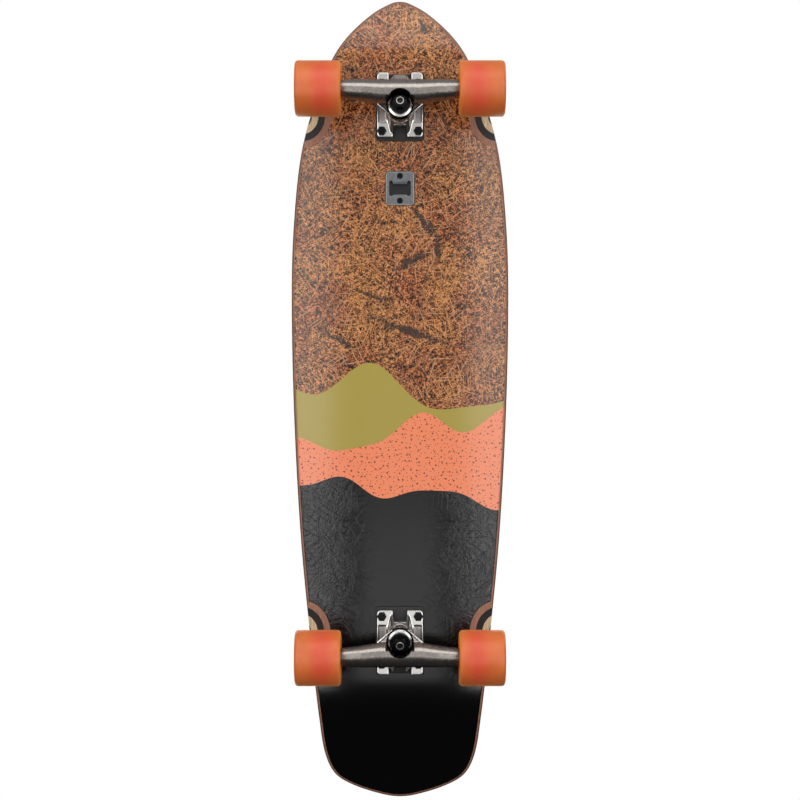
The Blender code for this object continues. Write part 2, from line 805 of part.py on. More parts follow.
def riser_shape():
    low = (-RISER_WIDTH / 2, RISER_INNER)
    high = (RISER_WIDTH / 2, RISER_OUTER)
    pad = slab(rounded_rectangle(low, high, RISER_CORNER), -GAP - RISER_THICKNESS, -GAP)
    return cut(pad, *truck_bolt_holes(BOLT_RADIUS + GAP), end_notch(RISER_OUTER, RISER_NOTCH_DEPTH))


def tower_shape():
    """The kingpin's seat, its foot and the two ribs that run back beside the channel."""
    seat = [KINGPIN_FRAME @ point for point in circle(TOWER_RADIUS, TOWER_SEAT, BUSHING_STEPS)]
    foot = PLATE_FACE + PLATE_THICKNESS / 2
    middle = seat_centre().y - TOWER_RADIUS / 3
    feet = (
        (TOWER_TAIL_WIDTH / 2, middle - TOWER_TAIL_LENGTH),
        (TOWER_FOOT_WIDTH / 2, middle),
        (TOWER_FOOT_WIDTH / 2 - PLATE_EDGE, middle + TOWER_FRONT_LENGTH),
    )
    ground = [Vector((side * x, y, foot)) for x, y in feet for side in (-1, 1)]
    return hull(seat + ground)


def seat_centre():
    return KINGPIN_FRAME @ Vector((0, 0, TOWER_SEAT))


def housing_shape():
    """The flat-sided block round the pivot cup, whose narrow end stands in the plate's notch."""
    outline = (
        (HOUSING_END_WIDTH / 2, HOUSING_CROWN),
        (HOUSING_SIDE, HOUSING_SHOULDER),
        (HOUSING_SIDE, -HOUSING_SIDE),
    )
    rims = [
        STEER_FRAME @ Vector((side * x, y, depth))
        for depth in (HOUSING_MOUTH, HOUSING_END)
        for x, y in outline
        for side in (-1, 1)
    ]
    toe = PLATE_OUTER - HOUSING_TOE
    feet = (
        (HOUSING_END_WIDTH / 2, toe),
        (HOUSING_FOOT_WIDTH / 2, toe - HOUSING_FOOT_TAPER),
        (HOUSING_FOOT_WIDTH / 2, toe - HOUSING_FOOT_LENGTH),
    )
    ground = [Vector((side * x, y, PLATE_TOP - GAP)) for x, y in feet for side in (-1, 1)]
    return hull(rims + ground)


def channel_cutter():
    end = PLATE_INNER + CHANNEL_LENGTH
    outline = (
        (CHANNEL_WIDTH / 2, end),
        (-CHANNEL_WIDTH / 2, end),
        (-CHANNEL_MOUTH / 2, PLATE_INNER - PLATE_THICKNESS),
        (CHANNEL_MOUTH / 2, PLATE_INNER - PLATE_THICKNESS),
    )
    return slab(outline, -AXLE_DROP, 0)


def pad_cutters():
    outer = PLATE_WIDTH / 2 - PAD_IN_FROM_SIDE
    outline = rounded_rectangle(
        (outer - PAD_WIDTH, -PAD_LENGTH / 2), (outer, PAD_LENGTH / 2), PAD_CORNER
    )
    right = slab(outline, PLATE_FACE - PLATE_THICKNESS, PLATE_FACE + PAD_DEPTH)
    return right, copy_of(right, Matrix.Rotation(math.pi, 4, "Z"))


def baseplate_shape():
    low = (-PLATE_WIDTH / 2, PLATE_INNER)
    high = (PLATE_WIDTH / 2, PLATE_OUTER)
    plate = slab(rounded_rectangle(low, high, PLATE_CORNER), PLATE_FACE, PLATE_TOP)
    plate = bevelled(plate, PLATE_EDGE, 1)
    plate = cut(plate, end_notch(PLATE_OUTER, PLATE_NOTCH_DEPTH), *pad_cutters())
    plate = join(plate, tower_shape(), housing_shape())
    bore = cylinder(KINGPIN_RADIUS + GAP, KINGPIN_HEAD_TOP * 2, 0, PIN_STEPS)
    head = cylinder(KINGPIN_HEAD_RADIUS + GAP, KINGPIN_HEAD_TOP * 2, KINGPIN_HEAD_TOP + GAP, PIN_STEPS)
    cup = cylinder(CUP_RADIUS + GAP, 0, CUP_END + GAP, PIN_STEPS)
    return cut(
        plate,
        moved(bore, KINGPIN_FRAME),
        moved(head, KINGPIN_FRAME),
        moved(cup, STEER_FRAME),
        channel_cutter(),
        *truck_bolt_holes(BOLT_RADIUS + GAP),
    )


def bar_shape():
    """The cross bar: thick in the middle, tapering to the wheels with its outer side nearly straight."""
    stations = (
        (HANGER_WIDTH / 2, 0, 0, BAR_END_RADIUS),
        (BAR_SHOULDER_X, BAR_SHOULDER_IN, BAR_SHOULDER_UP, BAR_SHOULDER_RADIUS),
        (BAR_MIDDLE_X, BAR_MIDDLE_IN, BAR_MIDDLE_UP, BAR_MIDDLE_RADIUS),
    )
    mirrored = [(-x, inward, up, radius) for x, inward, up, radius in reversed(stations)]
    curve = bpy.data.curves.new("bar", "CURVE")
    curve.dimensions = "3D"
    curve.bevel_depth = 1.0
    curve.bevel_resolution = BAR_STEPS // 2 - 2
    curve.use_fill_caps = True
    spline = curve.splines.new("POLY")
    spline.points.add(2 * len(stations) - 1)
    for point, (x, inward, up, radius) in zip(spline.points, (*stations, *mirrored)):
        place = AXLE_CENTRE + Vector((x, -inward, up))
        point.co = (*place, 1)
        point.radius = radius
    return edit(bake(helper(curve)), weld)


def ring_shape():
    profile = (
        (RING_RADIUS - RING_CHAMFER, RING_TOP),
        (RING_RADIUS, RING_TOP - RING_CHAMFER),
        (RING_RADIUS, RING_CHAMFER - RING_TOP),
        (RING_RADIUS - RING_CHAMFER, -RING_TOP),
        (0, -RING_TOP),
        (0, RING_TOP),
    )
    return moved(turned(profile, RING_STEPS), KINGPIN_FRAME)


def yoke_shape():
    """The V-shaped web from the bar's shoulders down to the ring."""
    rims = [
        KINGPIN_FRAME @ point
        for height in (-RING_FACE, RING_FACE)
        for point in circle(RING_RADIUS - RING_CHAMFER, height, RING_STEPS)
    ]
    back = AXLE_CENTRE.y - YOKE_BEHIND_AXLE
    low = AXLE_CENTRE.z + BAR_MIDDLE_UP
    wings = [
        Vector((side * YOKE_SPREAD, y, z))
        for side in (-1, 1)
        for y in (back, AXLE_CENTRE.y)
        for z in (low, low + YOKE_DEPTH)
    ]
    return hull(rims + wings)


def pivot_shape():
    tip = PIVOT_TIP_RADIUS
    turns = [math.pi / 2 * step / TIP_STEPS for step in range(TIP_STEPS + 1)]
    profile = [(tip * math.sin(turn), PIVOT_LENGTH - tip + tip * math.cos(turn)) for turn in turns]
    profile += [(tip, PIVOT_TAPER_TO), (PIVOT_ROOT_RADIUS, PIVOT_TAPER_FROM), (PIVOT_ROOT_RADIUS, 0), (0, 0)]
    return moved(turned(profile, PIN_STEPS), STEER_FRAME)


def rib_shape():
    """The web between the pivot and the bar."""
    root = STEER_FRAME @ Vector((0, 0, PIVOT_TAPER_FROM))
    end = STEER_FRAME @ Vector((0, 0, (PIVOT_TAPER_FROM + PIVOT_TAPER_TO) / 2))
    bar = AXLE_CENTRE + Vector((0, -BAR_MIDDLE_IN, BAR_MIDDLE_UP))
    crown = bar + Vector((0, BAR_MIDDLE_RADIUS / 2, 0))
    points = [
        place + Vector((side * RIB_THICKNESS / 2, 0, 0))
        for place in (root, end, bar, crown, RING_CENTRE)
        for side in (-1, 1)
    ]
    return hull(points)


def oval(radius, swing, height):
    """Two circles side by side, whose hull is an oval."""
    return [
        point + Vector((side * swing, 0, 0)) for side in (-1, 1) for point in circle(radius, height, RING_STEPS)
    ]


def washer_pocket():
    """Room in the bar for the upper washer as the hanger swings."""
    return hull(
        oval(SEAT_RADIUS, SWING_CLEARANCE, RING_TOP + GAP)
        + oval(SEAT_RADIUS, SWING_CLEARANCE, UPPER_WASHER_FROM + WASHER_THICKNESS + SWING_CLEARANCE / 2)
    )


def nut_pocket():
    """Room in the bar for the nut and its spanner, widening with the casting's draft."""
    corner = KINGPIN_NUT_FLATS / 2 + NUT_CLEARANCE
    return hull(
        oval(corner, NUT_SWING, KINGPIN_NUT_FROM)
        + oval(corner + NUT_POCKET_DRAFT, NUT_SWING, KINGPIN_NUT_FROM + BAR_MIDDLE_RADIUS)
    )


def spanner_pocket():
    """The round recess over the nut in the bar's face, which leaves a floor over the axle."""
    floor = AXLE_CENTRE.z - AXLE_RADIUS - GAP - SPANNER_FLOOR
    mouth = floor - BAR_MIDDLE_RADIUS
    profile = (
        (SPANNER_RADIUS - SPANNER_DRAFT, floor),
        (SPANNER_RADIUS + SPANNER_DRAFT, mouth),
        (0, mouth),
        (0, floor),
    )
    return moved(turned(profile, RING_STEPS), Matrix.Translation((0, SPANNER_OUT, 0)))


def hanger_shape():
    hanger = join(bar_shape(), ring_shape(), yoke_shape(), pivot_shape(), rib_shape())
    upper_seat = cylinder(SEAT_RADIUS, RING_FACE, RING_TOP + 2 * GAP, RING_STEPS)
    lower_seat = cylinder(SEAT_RADIUS, -AXLE_DROP / 3, -RING_FACE, RING_STEPS)
    bore = cylinder(RING_BORE, -RING_RADIUS, RING_RADIUS, RING_STEPS)
    tunnel = cylinder(AXLE_RADIUS + GAP, -HANGER_WIDTH, HANGER_WIDTH, HUB_STEPS)
    return cut(
        hanger,
        moved(upper_seat, KINGPIN_FRAME),
        moved(washer_pocket(), KINGPIN_FRAME),
        moved(nut_pocket(), KINGPIN_FRAME),
        spanner_pocket(),
        moved(lower_seat, KINGPIN_FRAME),
        moved(bore, KINGPIN_FRAME),
        moved(tunnel, AXLE_FRAME),
    )


def axle_shape():
    """The axle with a speed washer on each side of each wheel's bearings."""
    half = [(AXLE_RADIUS, 0)]
    for start in (INNER_WASHER_FROM, OUTER_WASHER_FROM):
        end = start + SPEED_WASHER_THICKNESS
        half += [(AXLE_RADIUS, start), (SPEED_WASHER_RADIUS, start)]
        half += [(SPEED_WASHER_RADIUS, end), (AXLE_RADIUS, end)]
    half += [(AXLE_RADIUS, AXLE_END), (0, AXLE_END)]
    other = [(radius, -along) for radius, along in reversed(half[1:])]
    return turned([*reversed(half[1:]), *reversed(other)], HUB_STEPS)


def nut_shape(flats, bore, height):
    """A hexagonal nut whose corners are turned off at the outer end."""
    corner = flats / 2 / math.cos(math.pi / 6)
    chamfer = corner - flats / 2
    profile = (
        (flats / 2, height),
        (corner + chamfer, height - 2 * chamfer),
        (corner + chamfer, -height),
        (0, -height),
        (0, height),
    )
    nut = combined(prism(flats, 0, height), "INTERSECT", [turned(profile, BUSHING_STEPS)])
    return cut(nut, cylinder(bore, -height, 2 * height, HUB_STEPS))


def bearing_shape():
    """A shielded ball bearing, with the shield sunk between its two races."""
    bore = AXLE_RADIUS + GAP
    shield = BEARING_WIDTH - BEARING_SHIELD_DEPTH
    profile = (
        (BEARING_RADIUS, BEARING_WIDTH),
        (BEARING_RADIUS, 0),
        (bore, 0),
        (bore, BEARING_WIDTH),
        (bore + BEARING_RACE, shield),
        (BEARING_RADIUS - BEARING_RACE, shield),
    )
    return turned(profile, HUB_STEPS)


def spacer_shape():
    bore = AXLE_RADIUS + GAP
    profile = ((SPACER_RADIUS, SPACER_LENGTH), (SPACER_RADIUS, 0), (bore, 0), (bore, SPACER_LENGTH))
    return turned(profile, HUB_STEPS)


def bushing_shape(bottom, top, bulge, low, high):
    bore = KINGPIN_RADIUS + GAP
    middle = (low + high) / 2
    profile = (
        (top, high),
        ((top + bottom) / 2 + bulge, middle),
        (bottom, low),
        (bore, low),
        (bore, high),
    )
    return turned(profile, BUSHING_STEPS)


def washer_shape(radius, low):
    """A washer whose rim is turned off towards the nut."""
    bore = KINGPIN_RADIUS + GAP
    high = low + WASHER_THICKNESS
    profile = (
        (radius - WASHER_LIP, high),
        (radius, high - WASHER_LIP),
        (radius, low),
        (bore, low),
        (bore, high),
    )
    return turned(profile, BUSHING_STEPS)


def kingpin_shape():
    head_end = KINGPIN_HEAD_TOP - KINGPIN_HEAD_HEIGHT
    profile = (
        (0, KINGPIN_TIP),
        (KINGPIN_RADIUS - KINGPIN_PROUD / 2, KINGPIN_TIP),
        (KINGPIN_RADIUS, KINGPIN_TIP - KINGPIN_PROUD / 2),
        (KINGPIN_RADIUS, KINGPIN_HEAD_TOP),
        (KINGPIN_HEAD_RADIUS, KINGPIN_HEAD_TOP),
        (KINGPIN_HEAD_RADIUS, head_end),
        (0, head_end),
    )
    return turned(profile, PIN_STEPS)


def cup_shape():
    """The urethane cup that the hanger's pivot turns in."""
    bore = PIVOT_TIP_RADIUS + GAP
    floor = PIVOT_LENGTH + GAP
    profile = (
        (0, CUP_END),
        (CUP_RADIUS - GAP, CUP_END),
        (CUP_RADIUS, CUP_END - GAP),
        (CUP_RADIUS, CUP_MOUTH),
        (bore + GAP, CUP_MOUTH),
        (bore, CUP_MOUTH + GAP),
        (bore, floor),
        (0, floor),
    )
    return turned(profile, PIN_STEPS)


def tyre_shape():
    """The cast wheel, along its axle from the middle of the board."""
    inner = WHEEL_INNER_FACE_X
    outer = WHEEL_OUTER_FACE_X
    lip = WHEEL_LIP
    bevel = lip * (1 - math.cos(math.pi / 4))
    bore = CORE_RADIUS + GAP
    profile = (
        (WHEEL_RECESS_OUT, outer),
        (WHEEL_RADIUS - lip, outer),
        (WHEEL_RADIUS - bevel, outer - bevel),
        (WHEEL_RADIUS, outer - lip),
        (WHEEL_RADIUS, inner + lip),
        (WHEEL_RADIUS - bevel, inner + bevel),
        (WHEEL_RADIUS - lip, inner),
        (WHEEL_RECESS_IN, inner),
        (bore, CORE_FROM),
        (bore, CORE_TO),
    )
    return turned(profile, WHEEL_STEPS)


def core_shape():
    """The hub inside the tyre, with a seat for a bearing at each end."""
    seat = BEARING_RADIUS + GAP
    shoulder = seat - CORE_SHOULDER
    inner_step = INNER_BEARING_FROM + BEARING_WIDTH + GAP
    outer_step = OUTER_BEARING_FROM - GAP
    profile = (
        (CORE_END_RADIUS, CORE_TO),
        (CORE_RADIUS, CORE_TO - CORE_FLANGE),
        (CORE_RADIUS, CORE_FROM + CORE_FLANGE),
        (CORE_END_RADIUS, CORE_FROM),
        (seat, CORE_FROM),
        (seat, inner_step),
        (shoulder, inner_step),
        (shoulder, outer_step),
        (seat, outer_step),
        (seat, CORE_TO),
    )
    return turned(profile, HUB_STEPS)


def truck_shapes():
    """Every shape that both trucks use, made once."""
    return {
        "riser": riser_shape(),
        "baseplate": baseplate_shape(),
        "pivot_cup": cup_shape(),
        "kingpin": kingpin_shape(),
        "kingpin_nut": nut_shape(KINGPIN_NUT_FLATS, KINGPIN_RADIUS + GAP, KINGPIN_NUT_HEIGHT),
        "lower_bushing": bushing_shape(
            BUSHING_RADIUS, BUSHING_RADIUS, BUSHING_BULGE, LOWER_BUSHING_FROM, -RING_FACE - GAP
        ),
        "upper_bushing": bushing_shape(
            BUSHING_RADIUS, UPPER_BUSHING_TOP_RADIUS, BUSHING_BULGE, UPPER_BUSHING_FROM, UPPER_BUSHING_TO
        ),
        "lower_washer": washer_shape(LOWER_WASHER_RADIUS, LOWER_WASHER_FROM),
        "upper_washer": washer_shape(UPPER_WASHER_RADIUS, UPPER_WASHER_FROM),
        "hanger": moved(hanger_shape(), STEER_FRAME.inverted()),
        "axle": axle_shape(),
        "axle_nut": nut_shape(AXLE_NUT_FLATS, AXLE_RADIUS + GAP, AXLE_NUT_HEIGHT),
        "tyre": tyre_shape(),
        "core": core_shape(),
        "bearing": bearing_shape(),
        "spacer": spacer_shape(),
    }


def make_wheel(name, shapes, axle, side):
    """A wheel on the named end of the axle. The side is 1 or -1 along the axle's own Z."""
    outward = Matrix() if side > 0 else Matrix.Rotation(math.pi, 4, "X")
    hub = empty(f"{name}_spin", axle, outward)

    def at(along):
        return Matrix.Translation((0, 0, along))

    finish(f"{name}_tyre", shapes["tyre"], "orange_urethane", hub)
    finish(f"{name}_core", shapes["core"], "core", hub)
    finish(f"{name}_spacer", shapes["spacer"], "bright_steel", hub, at(SPACER_FROM))
    finish(f"{name}_bearing_outer", shapes["bearing"], "bright_steel", hub, at(OUTER_BEARING_FROM))
    turned_round = at(INNER_BEARING_FROM + BEARING_WIDTH) @ Matrix.Rotation(math.pi, 4, "X")
    finish(f"{name}_bearing_inner", shapes["bearing"], "bright_steel", hub, turned_round)
    finish(f"{name}_axle_nut", shapes["axle_nut"], "bright_steel", axle, outward @ at(AXLE_NUT_FROM))


def make_truck(end, shapes, frame_matrix, sides):
    frame = empty(f"{end}_truck_frame", None, frame_matrix)
    steer = empty(f"{end}_steer_axis", frame, STEER_FRAME)
    axle_line = empty(f"{end}_axle_line", steer, STEER_FRAME.inverted() @ AXLE_FRAME)
    finish(f"{end}_riser", shapes["riser"], "black_rubber", frame)
    finish(f"{end}_baseplate", shapes["baseplate"], "cast_silver", frame)
    finish(f"{end}_pivot_cup", shapes["pivot_cup"], "black_urethane", frame, STEER_FRAME)
    finish(f"{end}_kingpin", shapes["kingpin"], "black_steel", frame, KINGPIN_FRAME)
    nut_place = KINGPIN_FRAME @ Matrix.Translation((0, 0, KINGPIN_NUT_FROM))
    finish(f"{end}_kingpin_nut", shapes["kingpin_nut"], "black_steel", frame, nut_place)
    for piece in ("lower_bushing", "upper_bushing"):
        finish(f"{end}_{piece}", shapes[piece], "black_urethane", frame, KINGPIN_FRAME)
    finish(f"{end}_lower_washer", shapes["lower_washer"], "bright_steel", frame, KINGPIN_FRAME)
    finish(f"{end}_upper_washer", shapes["upper_washer"], "black_steel", frame, KINGPIN_FRAME)
    finish(f"{end}_hanger", shapes["hanger"], "gunmetal", steer)
    finish(f"{end}_axle", shapes["axle"], "bright_steel", axle_line)
    for name, side in sides:
        make_wheel(f"{end}_{name}", shapes, axle_line, side)


def make_trucks():
    shapes = truck_shapes()
    front = Matrix.Translation((0, FRONT_TRUCK_Y, DECK_UNDERSIDE))
    rear = Matrix.Translation((0, REAR_TRUCK_Y, DECK_UNDERSIDE)) @ Matrix.Rotation(math.pi, 4, "Z")
    make_truck("front", shapes, front, (("right", 1), ("left", -1)))
    make_truck("rear", shapes, rear, (("left", 1), ("right", -1)))


def clear_helpers():
    for obj in list(CUTTERS.objects):
        bpy.data.objects.remove(obj)


make_deck()
make_grip()
make_opener()
make_bolts()
make_trucks()
clear_helpers()
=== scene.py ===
"""The looks of the cruiser skateboard: its fine surfaces, finishes, light and camera.

Metres, in the frame's own axes: +Y is the nose, +X the right-hand side seen from above and +Z up. Each fine
piece is made at the size and place of the nodes that it stands for. A truck is made in its own frame, whose
origin is the middle of its four bolts on the deck's underside, with +Y towards the nearer end of the deck.
"""

import json
import math

import bmesh
import bpy
from mathutils import Matrix, Vector

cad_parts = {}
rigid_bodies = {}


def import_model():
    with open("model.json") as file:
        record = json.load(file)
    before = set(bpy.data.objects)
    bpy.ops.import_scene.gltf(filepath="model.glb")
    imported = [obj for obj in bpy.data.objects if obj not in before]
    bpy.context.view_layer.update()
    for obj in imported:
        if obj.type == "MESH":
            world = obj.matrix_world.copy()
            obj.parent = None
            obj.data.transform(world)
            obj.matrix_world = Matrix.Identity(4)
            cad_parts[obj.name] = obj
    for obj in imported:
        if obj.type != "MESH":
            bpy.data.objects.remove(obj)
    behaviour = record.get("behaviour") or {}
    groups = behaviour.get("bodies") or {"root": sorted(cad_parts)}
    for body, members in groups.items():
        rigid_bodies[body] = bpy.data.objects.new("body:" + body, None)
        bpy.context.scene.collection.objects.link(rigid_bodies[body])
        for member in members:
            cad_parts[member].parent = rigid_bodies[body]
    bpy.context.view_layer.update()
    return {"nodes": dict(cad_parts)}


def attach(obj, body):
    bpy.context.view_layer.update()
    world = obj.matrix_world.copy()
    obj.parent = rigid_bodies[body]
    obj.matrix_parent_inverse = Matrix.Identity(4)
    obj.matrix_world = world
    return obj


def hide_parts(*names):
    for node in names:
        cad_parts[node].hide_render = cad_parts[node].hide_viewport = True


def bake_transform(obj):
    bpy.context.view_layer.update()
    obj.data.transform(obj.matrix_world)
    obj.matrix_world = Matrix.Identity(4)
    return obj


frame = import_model()

# Fits
GAP = 0.0003

# Deck
DECK_LENGTH = 0.9144
DECK_WIDTH = 0.24765
DECK_THICKNESS = 0.0110
DECK_EDGE_RADIUS = 0.0030
CONCAVE_RISE = 0.0070
FLAT_WIDTH = 0.0600
NOSE_ANGLE = math.radians(16)
NOSE_BEND = 0.040
TAIL_ANGLE = math.radians(14)
TAIL_BEND = 0.050
BEND_CLEARANCE = 0.003

# The side of the deck, from the nose tip back: share of the half width, share of the nose's length
NOSE_LENGTH = 0.1145
NOSE_CURVE = (
    (0.000, 0.000),
    (0.074, 0.015),
    (0.245, 0.121),
    (0.466, 0.345),
    (0.620, 0.588),
    (0.776, 1.000),
)
# The middle: share of the half width, share of the way from the nose tip to the tail tip
WAIST_CURVE = (
    (0.911, 0.193),
    (0.981, 0.283),
    (1.000, 0.372),
    (0.978, 0.517),
    (0.915, 0.672),
    (0.820, 0.806),
)
# The tail, front to back: share of the half width, share of the tail's length from its tip
TAIL_LENGTH = 0.0920
TAIL_CURVE = (
    (0.745, 1.000),
    (0.694, 0.557),
    (0.602, 0.297),
    (0.430, 0.149),
    (0.155, 0.027),
    (0.000, 0.000),
)

# Grip tape
GRIP_THICKNESS = 0.0009
GRIP_INSET = 0.0022

# Wheel wells: shallow cones whose middles stand off the deck's edge
WELL_RADIUS = 0.0390
WELL_SLOPE = math.radians(11.3)
WELL_PAST_EDGE = 0.0140
WELL_INWARD = 0.0217

# Truck bolts
BOLT_SPACING_LONG = 0.05398
BOLT_SPACING_WIDE = 0.04128
WHEELBASE = 0.5493
NOSE_TO_INNER_BOLTS = 0.1529
BOLT_RADIUS = 0.0024
BOLT_LENGTH = 0.0286
BOLT_HEAD_RADIUS = 0.00465
BOLT_HEAD_RIM = 0.0004
BOLT_HEAD_DEPTH = 0.0024
LOCK_NUT_FLATS = 0.0095
LOCK_NUT_HEIGHT = 0.0050

# Riser pad
RISER_THICKNESS = 0.0030
RISER_WIDTH = 0.0550
RISER_PAST_PLATE_INNER = 0.0036
RISER_PAST_PLATE_OUTER = 0.0008
RISER_CORNER = 0.0040
RISER_NOTCH_DEPTH = 0.0020

# Baseplate
PLATE_THICKNESS = 0.0060
PLATE_WIDTH = 0.0520
PLATE_PAST_INNER_BOLTS = 0.0065
PLATE_PAST_OUTER_BOLTS = 0.0127
PLATE_CORNER = 0.0036
PLATE_EDGE = 0.0008
CHANNEL_MOUTH = 0.0175
CHANNEL_WIDTH = 0.0150
CHANNEL_LENGTH = 0.0117
NOTCH_WIDTH = 0.0256
PLATE_NOTCH_DEPTH = 0.0075
PAD_LENGTH = 0.0330
PAD_WIDTH = 0.0090
PAD_DEPTH = 0.0007
PAD_IN_FROM_SIDE = 0.0014
PAD_CORNER = 0.0015
TOWER_RADIUS = 0.0128
TOWER_FOOT_WIDTH = 0.0298
TOWER_TAIL_WIDTH = 0.0196
TOWER_TAIL_LENGTH = 0.0200
TOWER_FRONT_LENGTH = 0.0150
HOUSING_SIDE_WALL = 0.0023
HOUSING_CROWN_WALL = 0.0016
HOUSING_END_WIDTH = 0.0133
HOUSING_SHOULDER = 0.0030
HOUSING_FOOT_WIDTH = 0.0240
HOUSING_FOOT_TAPER = 0.0050
HOUSING_FOOT_LENGTH = 0.0300
HOUSING_TOE = 0.0030

# Kingpin stack, along the kingpin from the middle of the hanger's ring
AXLE_DROP = 0.0560
AXLE_OUT = 0.0143
RING_DROP = 0.0398
RING_IN = 0.0034
KINGPIN_LEAN = math.radians(11.5)
KINGPIN_RADIUS = 0.00475
KINGPIN_PROUD = 0.0010
KINGPIN_HEAD_RADIUS = 0.0076
KINGPIN_HEAD_HEIGHT = 0.0060
KINGPIN_HEAD_COVER = 0.0116
KINGPIN_NUT_FLATS = 0.0143
KINGPIN_NUT_HEIGHT = 0.0068
RING_RADIUS = 0.0164
RING_RIM_HEIGHT = 0.0027
RING_WEB = 0.0064
RING_BORE = 0.0075
RING_CHAMFER = 0.0010
SEAT_RADIUS = 0.0132
BUSHING_RADIUS = 0.0121
BUSHING_BULGE = 0.0005
BUSHING_PLAY = 0.0014
LOWER_BUSHING_HEIGHT = 0.0120
UPPER_BUSHING_HEIGHT = 0.0074
UPPER_BUSHING_TOP_RADIUS = 0.0110
WASHER_RADIUS = 0.0112
WASHER_THICKNESS = 0.0015
WASHER_LIP = 0.0006

# Hanger
STEER_ANGLE = math.radians(38)
HANGER_WIDTH = 0.1520
BAR_END_RADIUS = 0.0096
BAR_SHOULDER_RADIUS = 0.0121
BAR_SHOULDER_X = 0.0430
BAR_SHOULDER_IN = 0.0015
BAR_SHOULDER_UP = 0.0010
BAR_MIDDLE_RADIUS = 0.0138
BAR_MIDDLE_X = 0.0230
BAR_MIDDLE_IN = 0.0030
BAR_MIDDLE_UP = 0.0034
YOKE_SPREAD = 0.0255
YOKE_BEHIND_AXLE = 0.0165
YOKE_DEPTH = 0.0120
PIVOT_LENGTH = 0.0390
PIVOT_TIP_RADIUS = 0.0048
PIVOT_ROOT_RADIUS = 0.0092
PIVOT_TAPER_FROM = 0.0100
PIVOT_TAPER_TO = 0.0300
RIB_THICKNESS = 0.0070
SWING_CLEARANCE = 0.0024
NUT_CLEARANCE = 0.0014
NUT_SWING = 0.0065
NUT_POCKET_DRAFT = 0.0015
SPANNER_RADIUS = 0.0138
SPANNER_OUT = -0.0004
SPANNER_DRAFT = 0.0006
SPANNER_FLOOR = 0.0009

# Pivot cup
CUP_DEPTH = 0.0067
CUP_WALL = 0.0026
CUP_FLOOR = 0.0018

# Axle and what it carries, outwards from the end of the hanger
AXLE_RADIUS = 0.0040
AXLE_PROUD = 0.0014
SPEED_WASHER_RADIUS = 0.0057
SPEED_WASHER_THICKNESS = 0.0008
BEARING_RADIUS = 0.0110
BEARING_WIDTH = 0.0070
BEARING_SHIELD_DEPTH = 0.0006
SPACER_LENGTH = 0.0100
AXLE_NUT_FLATS = 0.0127
AXLE_NUT_HEIGHT = 0.0065

# Wheel
WHEEL_RADIUS = 0.0310
WHEEL_WIDTH = 0.0510
WHEEL_INNER_FACE_X = 0.0655
WHEEL_LIP = 0.0040
WHEEL_RECESS_IN = 0.0215
WHEEL_RECESS_OUT = 0.0240
CORE_RADIUS = 0.0178
CORE_END_RADIUS = 0.0150
CORE_FLANGE = 0.0040
CORE_PAST_BEARINGS = 0.0012
CORE_SHOULDER = 0.0022

# Bottle opener let into the underside
OPENER_WIDTH = 0.0322
OPENER_LENGTH = 0.0380
OPENER_CORNER = 0.0034
OPENER_THICKNESS = 0.0062
OPENER_BEHIND_INNER_BOLTS = 0.0635
OPENER_SCREW_SPACING = 0.0282
OPENER_SCREW_HEAD = 0.0034
OPENER_SCREW_HEAD_DEPTH = 0.0017
OPENER_SCREW_RADIUS = 0.0015
OPENER_SCREW_LENGTH = 0.0085
RECESS_LENGTH = 0.0245
RECESS_WIDTH = 0.0173
RECESS_DEPTH = 0.0049
RECESS_LOBE = 0.0048
RECESS_CORNER = 0.0014
TOOTH_REACH = 0.0040
TOOTH_THICKNESS = 0.0016
REST_REACH = 0.0015

# Fine forms that only the looks have
DECK_LOWER_ROUND = 0.0046
DECK_UPPER_ROUND = 0.0016
ROUND_STEPS = 6
SHEET_STEP = 0.0090
GRIP_EDGE = 0.0003
CASTING_VOXEL = 0.00055
CASTING_SOFTENING = 5
SOFTENING_SHARE = 0.5
MACHINED_SKIN = 0.0005
COLLAR_SEAT = 0.0104
COLLAR_RADIUS = 0.0137
COLLAR_TOP = 0.0056
COLLAR_SLOPE = math.radians(11)
COLLAR_FOOT = 0.0034
BEAD_RADIUS = 0.0008
# Painted shade on the hanger: the ring's flank inside a lit rim line, and a line beside each bead
RING_LINE = 0.0008
RING_FLANK_SHADE = 0.9
BEAD_SHADE_WIDTH = 0.0012
BEAD_SHADE_DARKNESS = 0.8
LEDGE_WIDTH = 0.0133
LEDGE_DEPTH = 0.0010
LEDGE_PROUD = 0.0004
KINGPIN_HOLE = 0.0036
KINGPIN_HOLE_DEPTH = 0.0030
# The opener's painted highlight along its edge, painted shade on the deck round it, and painted shade on its
# tooth
OPENER_HIGHLIGHT_BAND = 0.0006
OPENER_SHADOW = 0.0009
TOOTH_SHADE_BAND = 0.0014
SMALL_EDGE = 0.0003
CUT_PAST = 0.001
HEXAGON_CHAMFER = 0.55
SEAT_CUT_SHARE = 1.2
PLATE_ROUND = 0.0006
SOCKET_FLATS = 0.0040
SOCKET_DEPTH = 0.0019
OPENER_SOCKET_FLATS = 0.0026
OPENER_SOCKET_DEPTH = 0.0011
NYLON_RADIUS = 0.0040
NYLON_HEIGHT = 0.0011
THREAD_PITCH = 0.0008
THREAD_DEPTH = 0.00035
THREAD_ROWS = 6
THREAD_STEPS = 32
BUSHING_EDGE = 0.0008
TYRE_LIP_STEPS = 6
TYRE_DISH = 0.0008
BEARING_EDGE = 0.0004
BEARING_GROOVE = 0.0003
SHIELD_INNER = 0.0062
SHIELD_OUTER = 0.0096

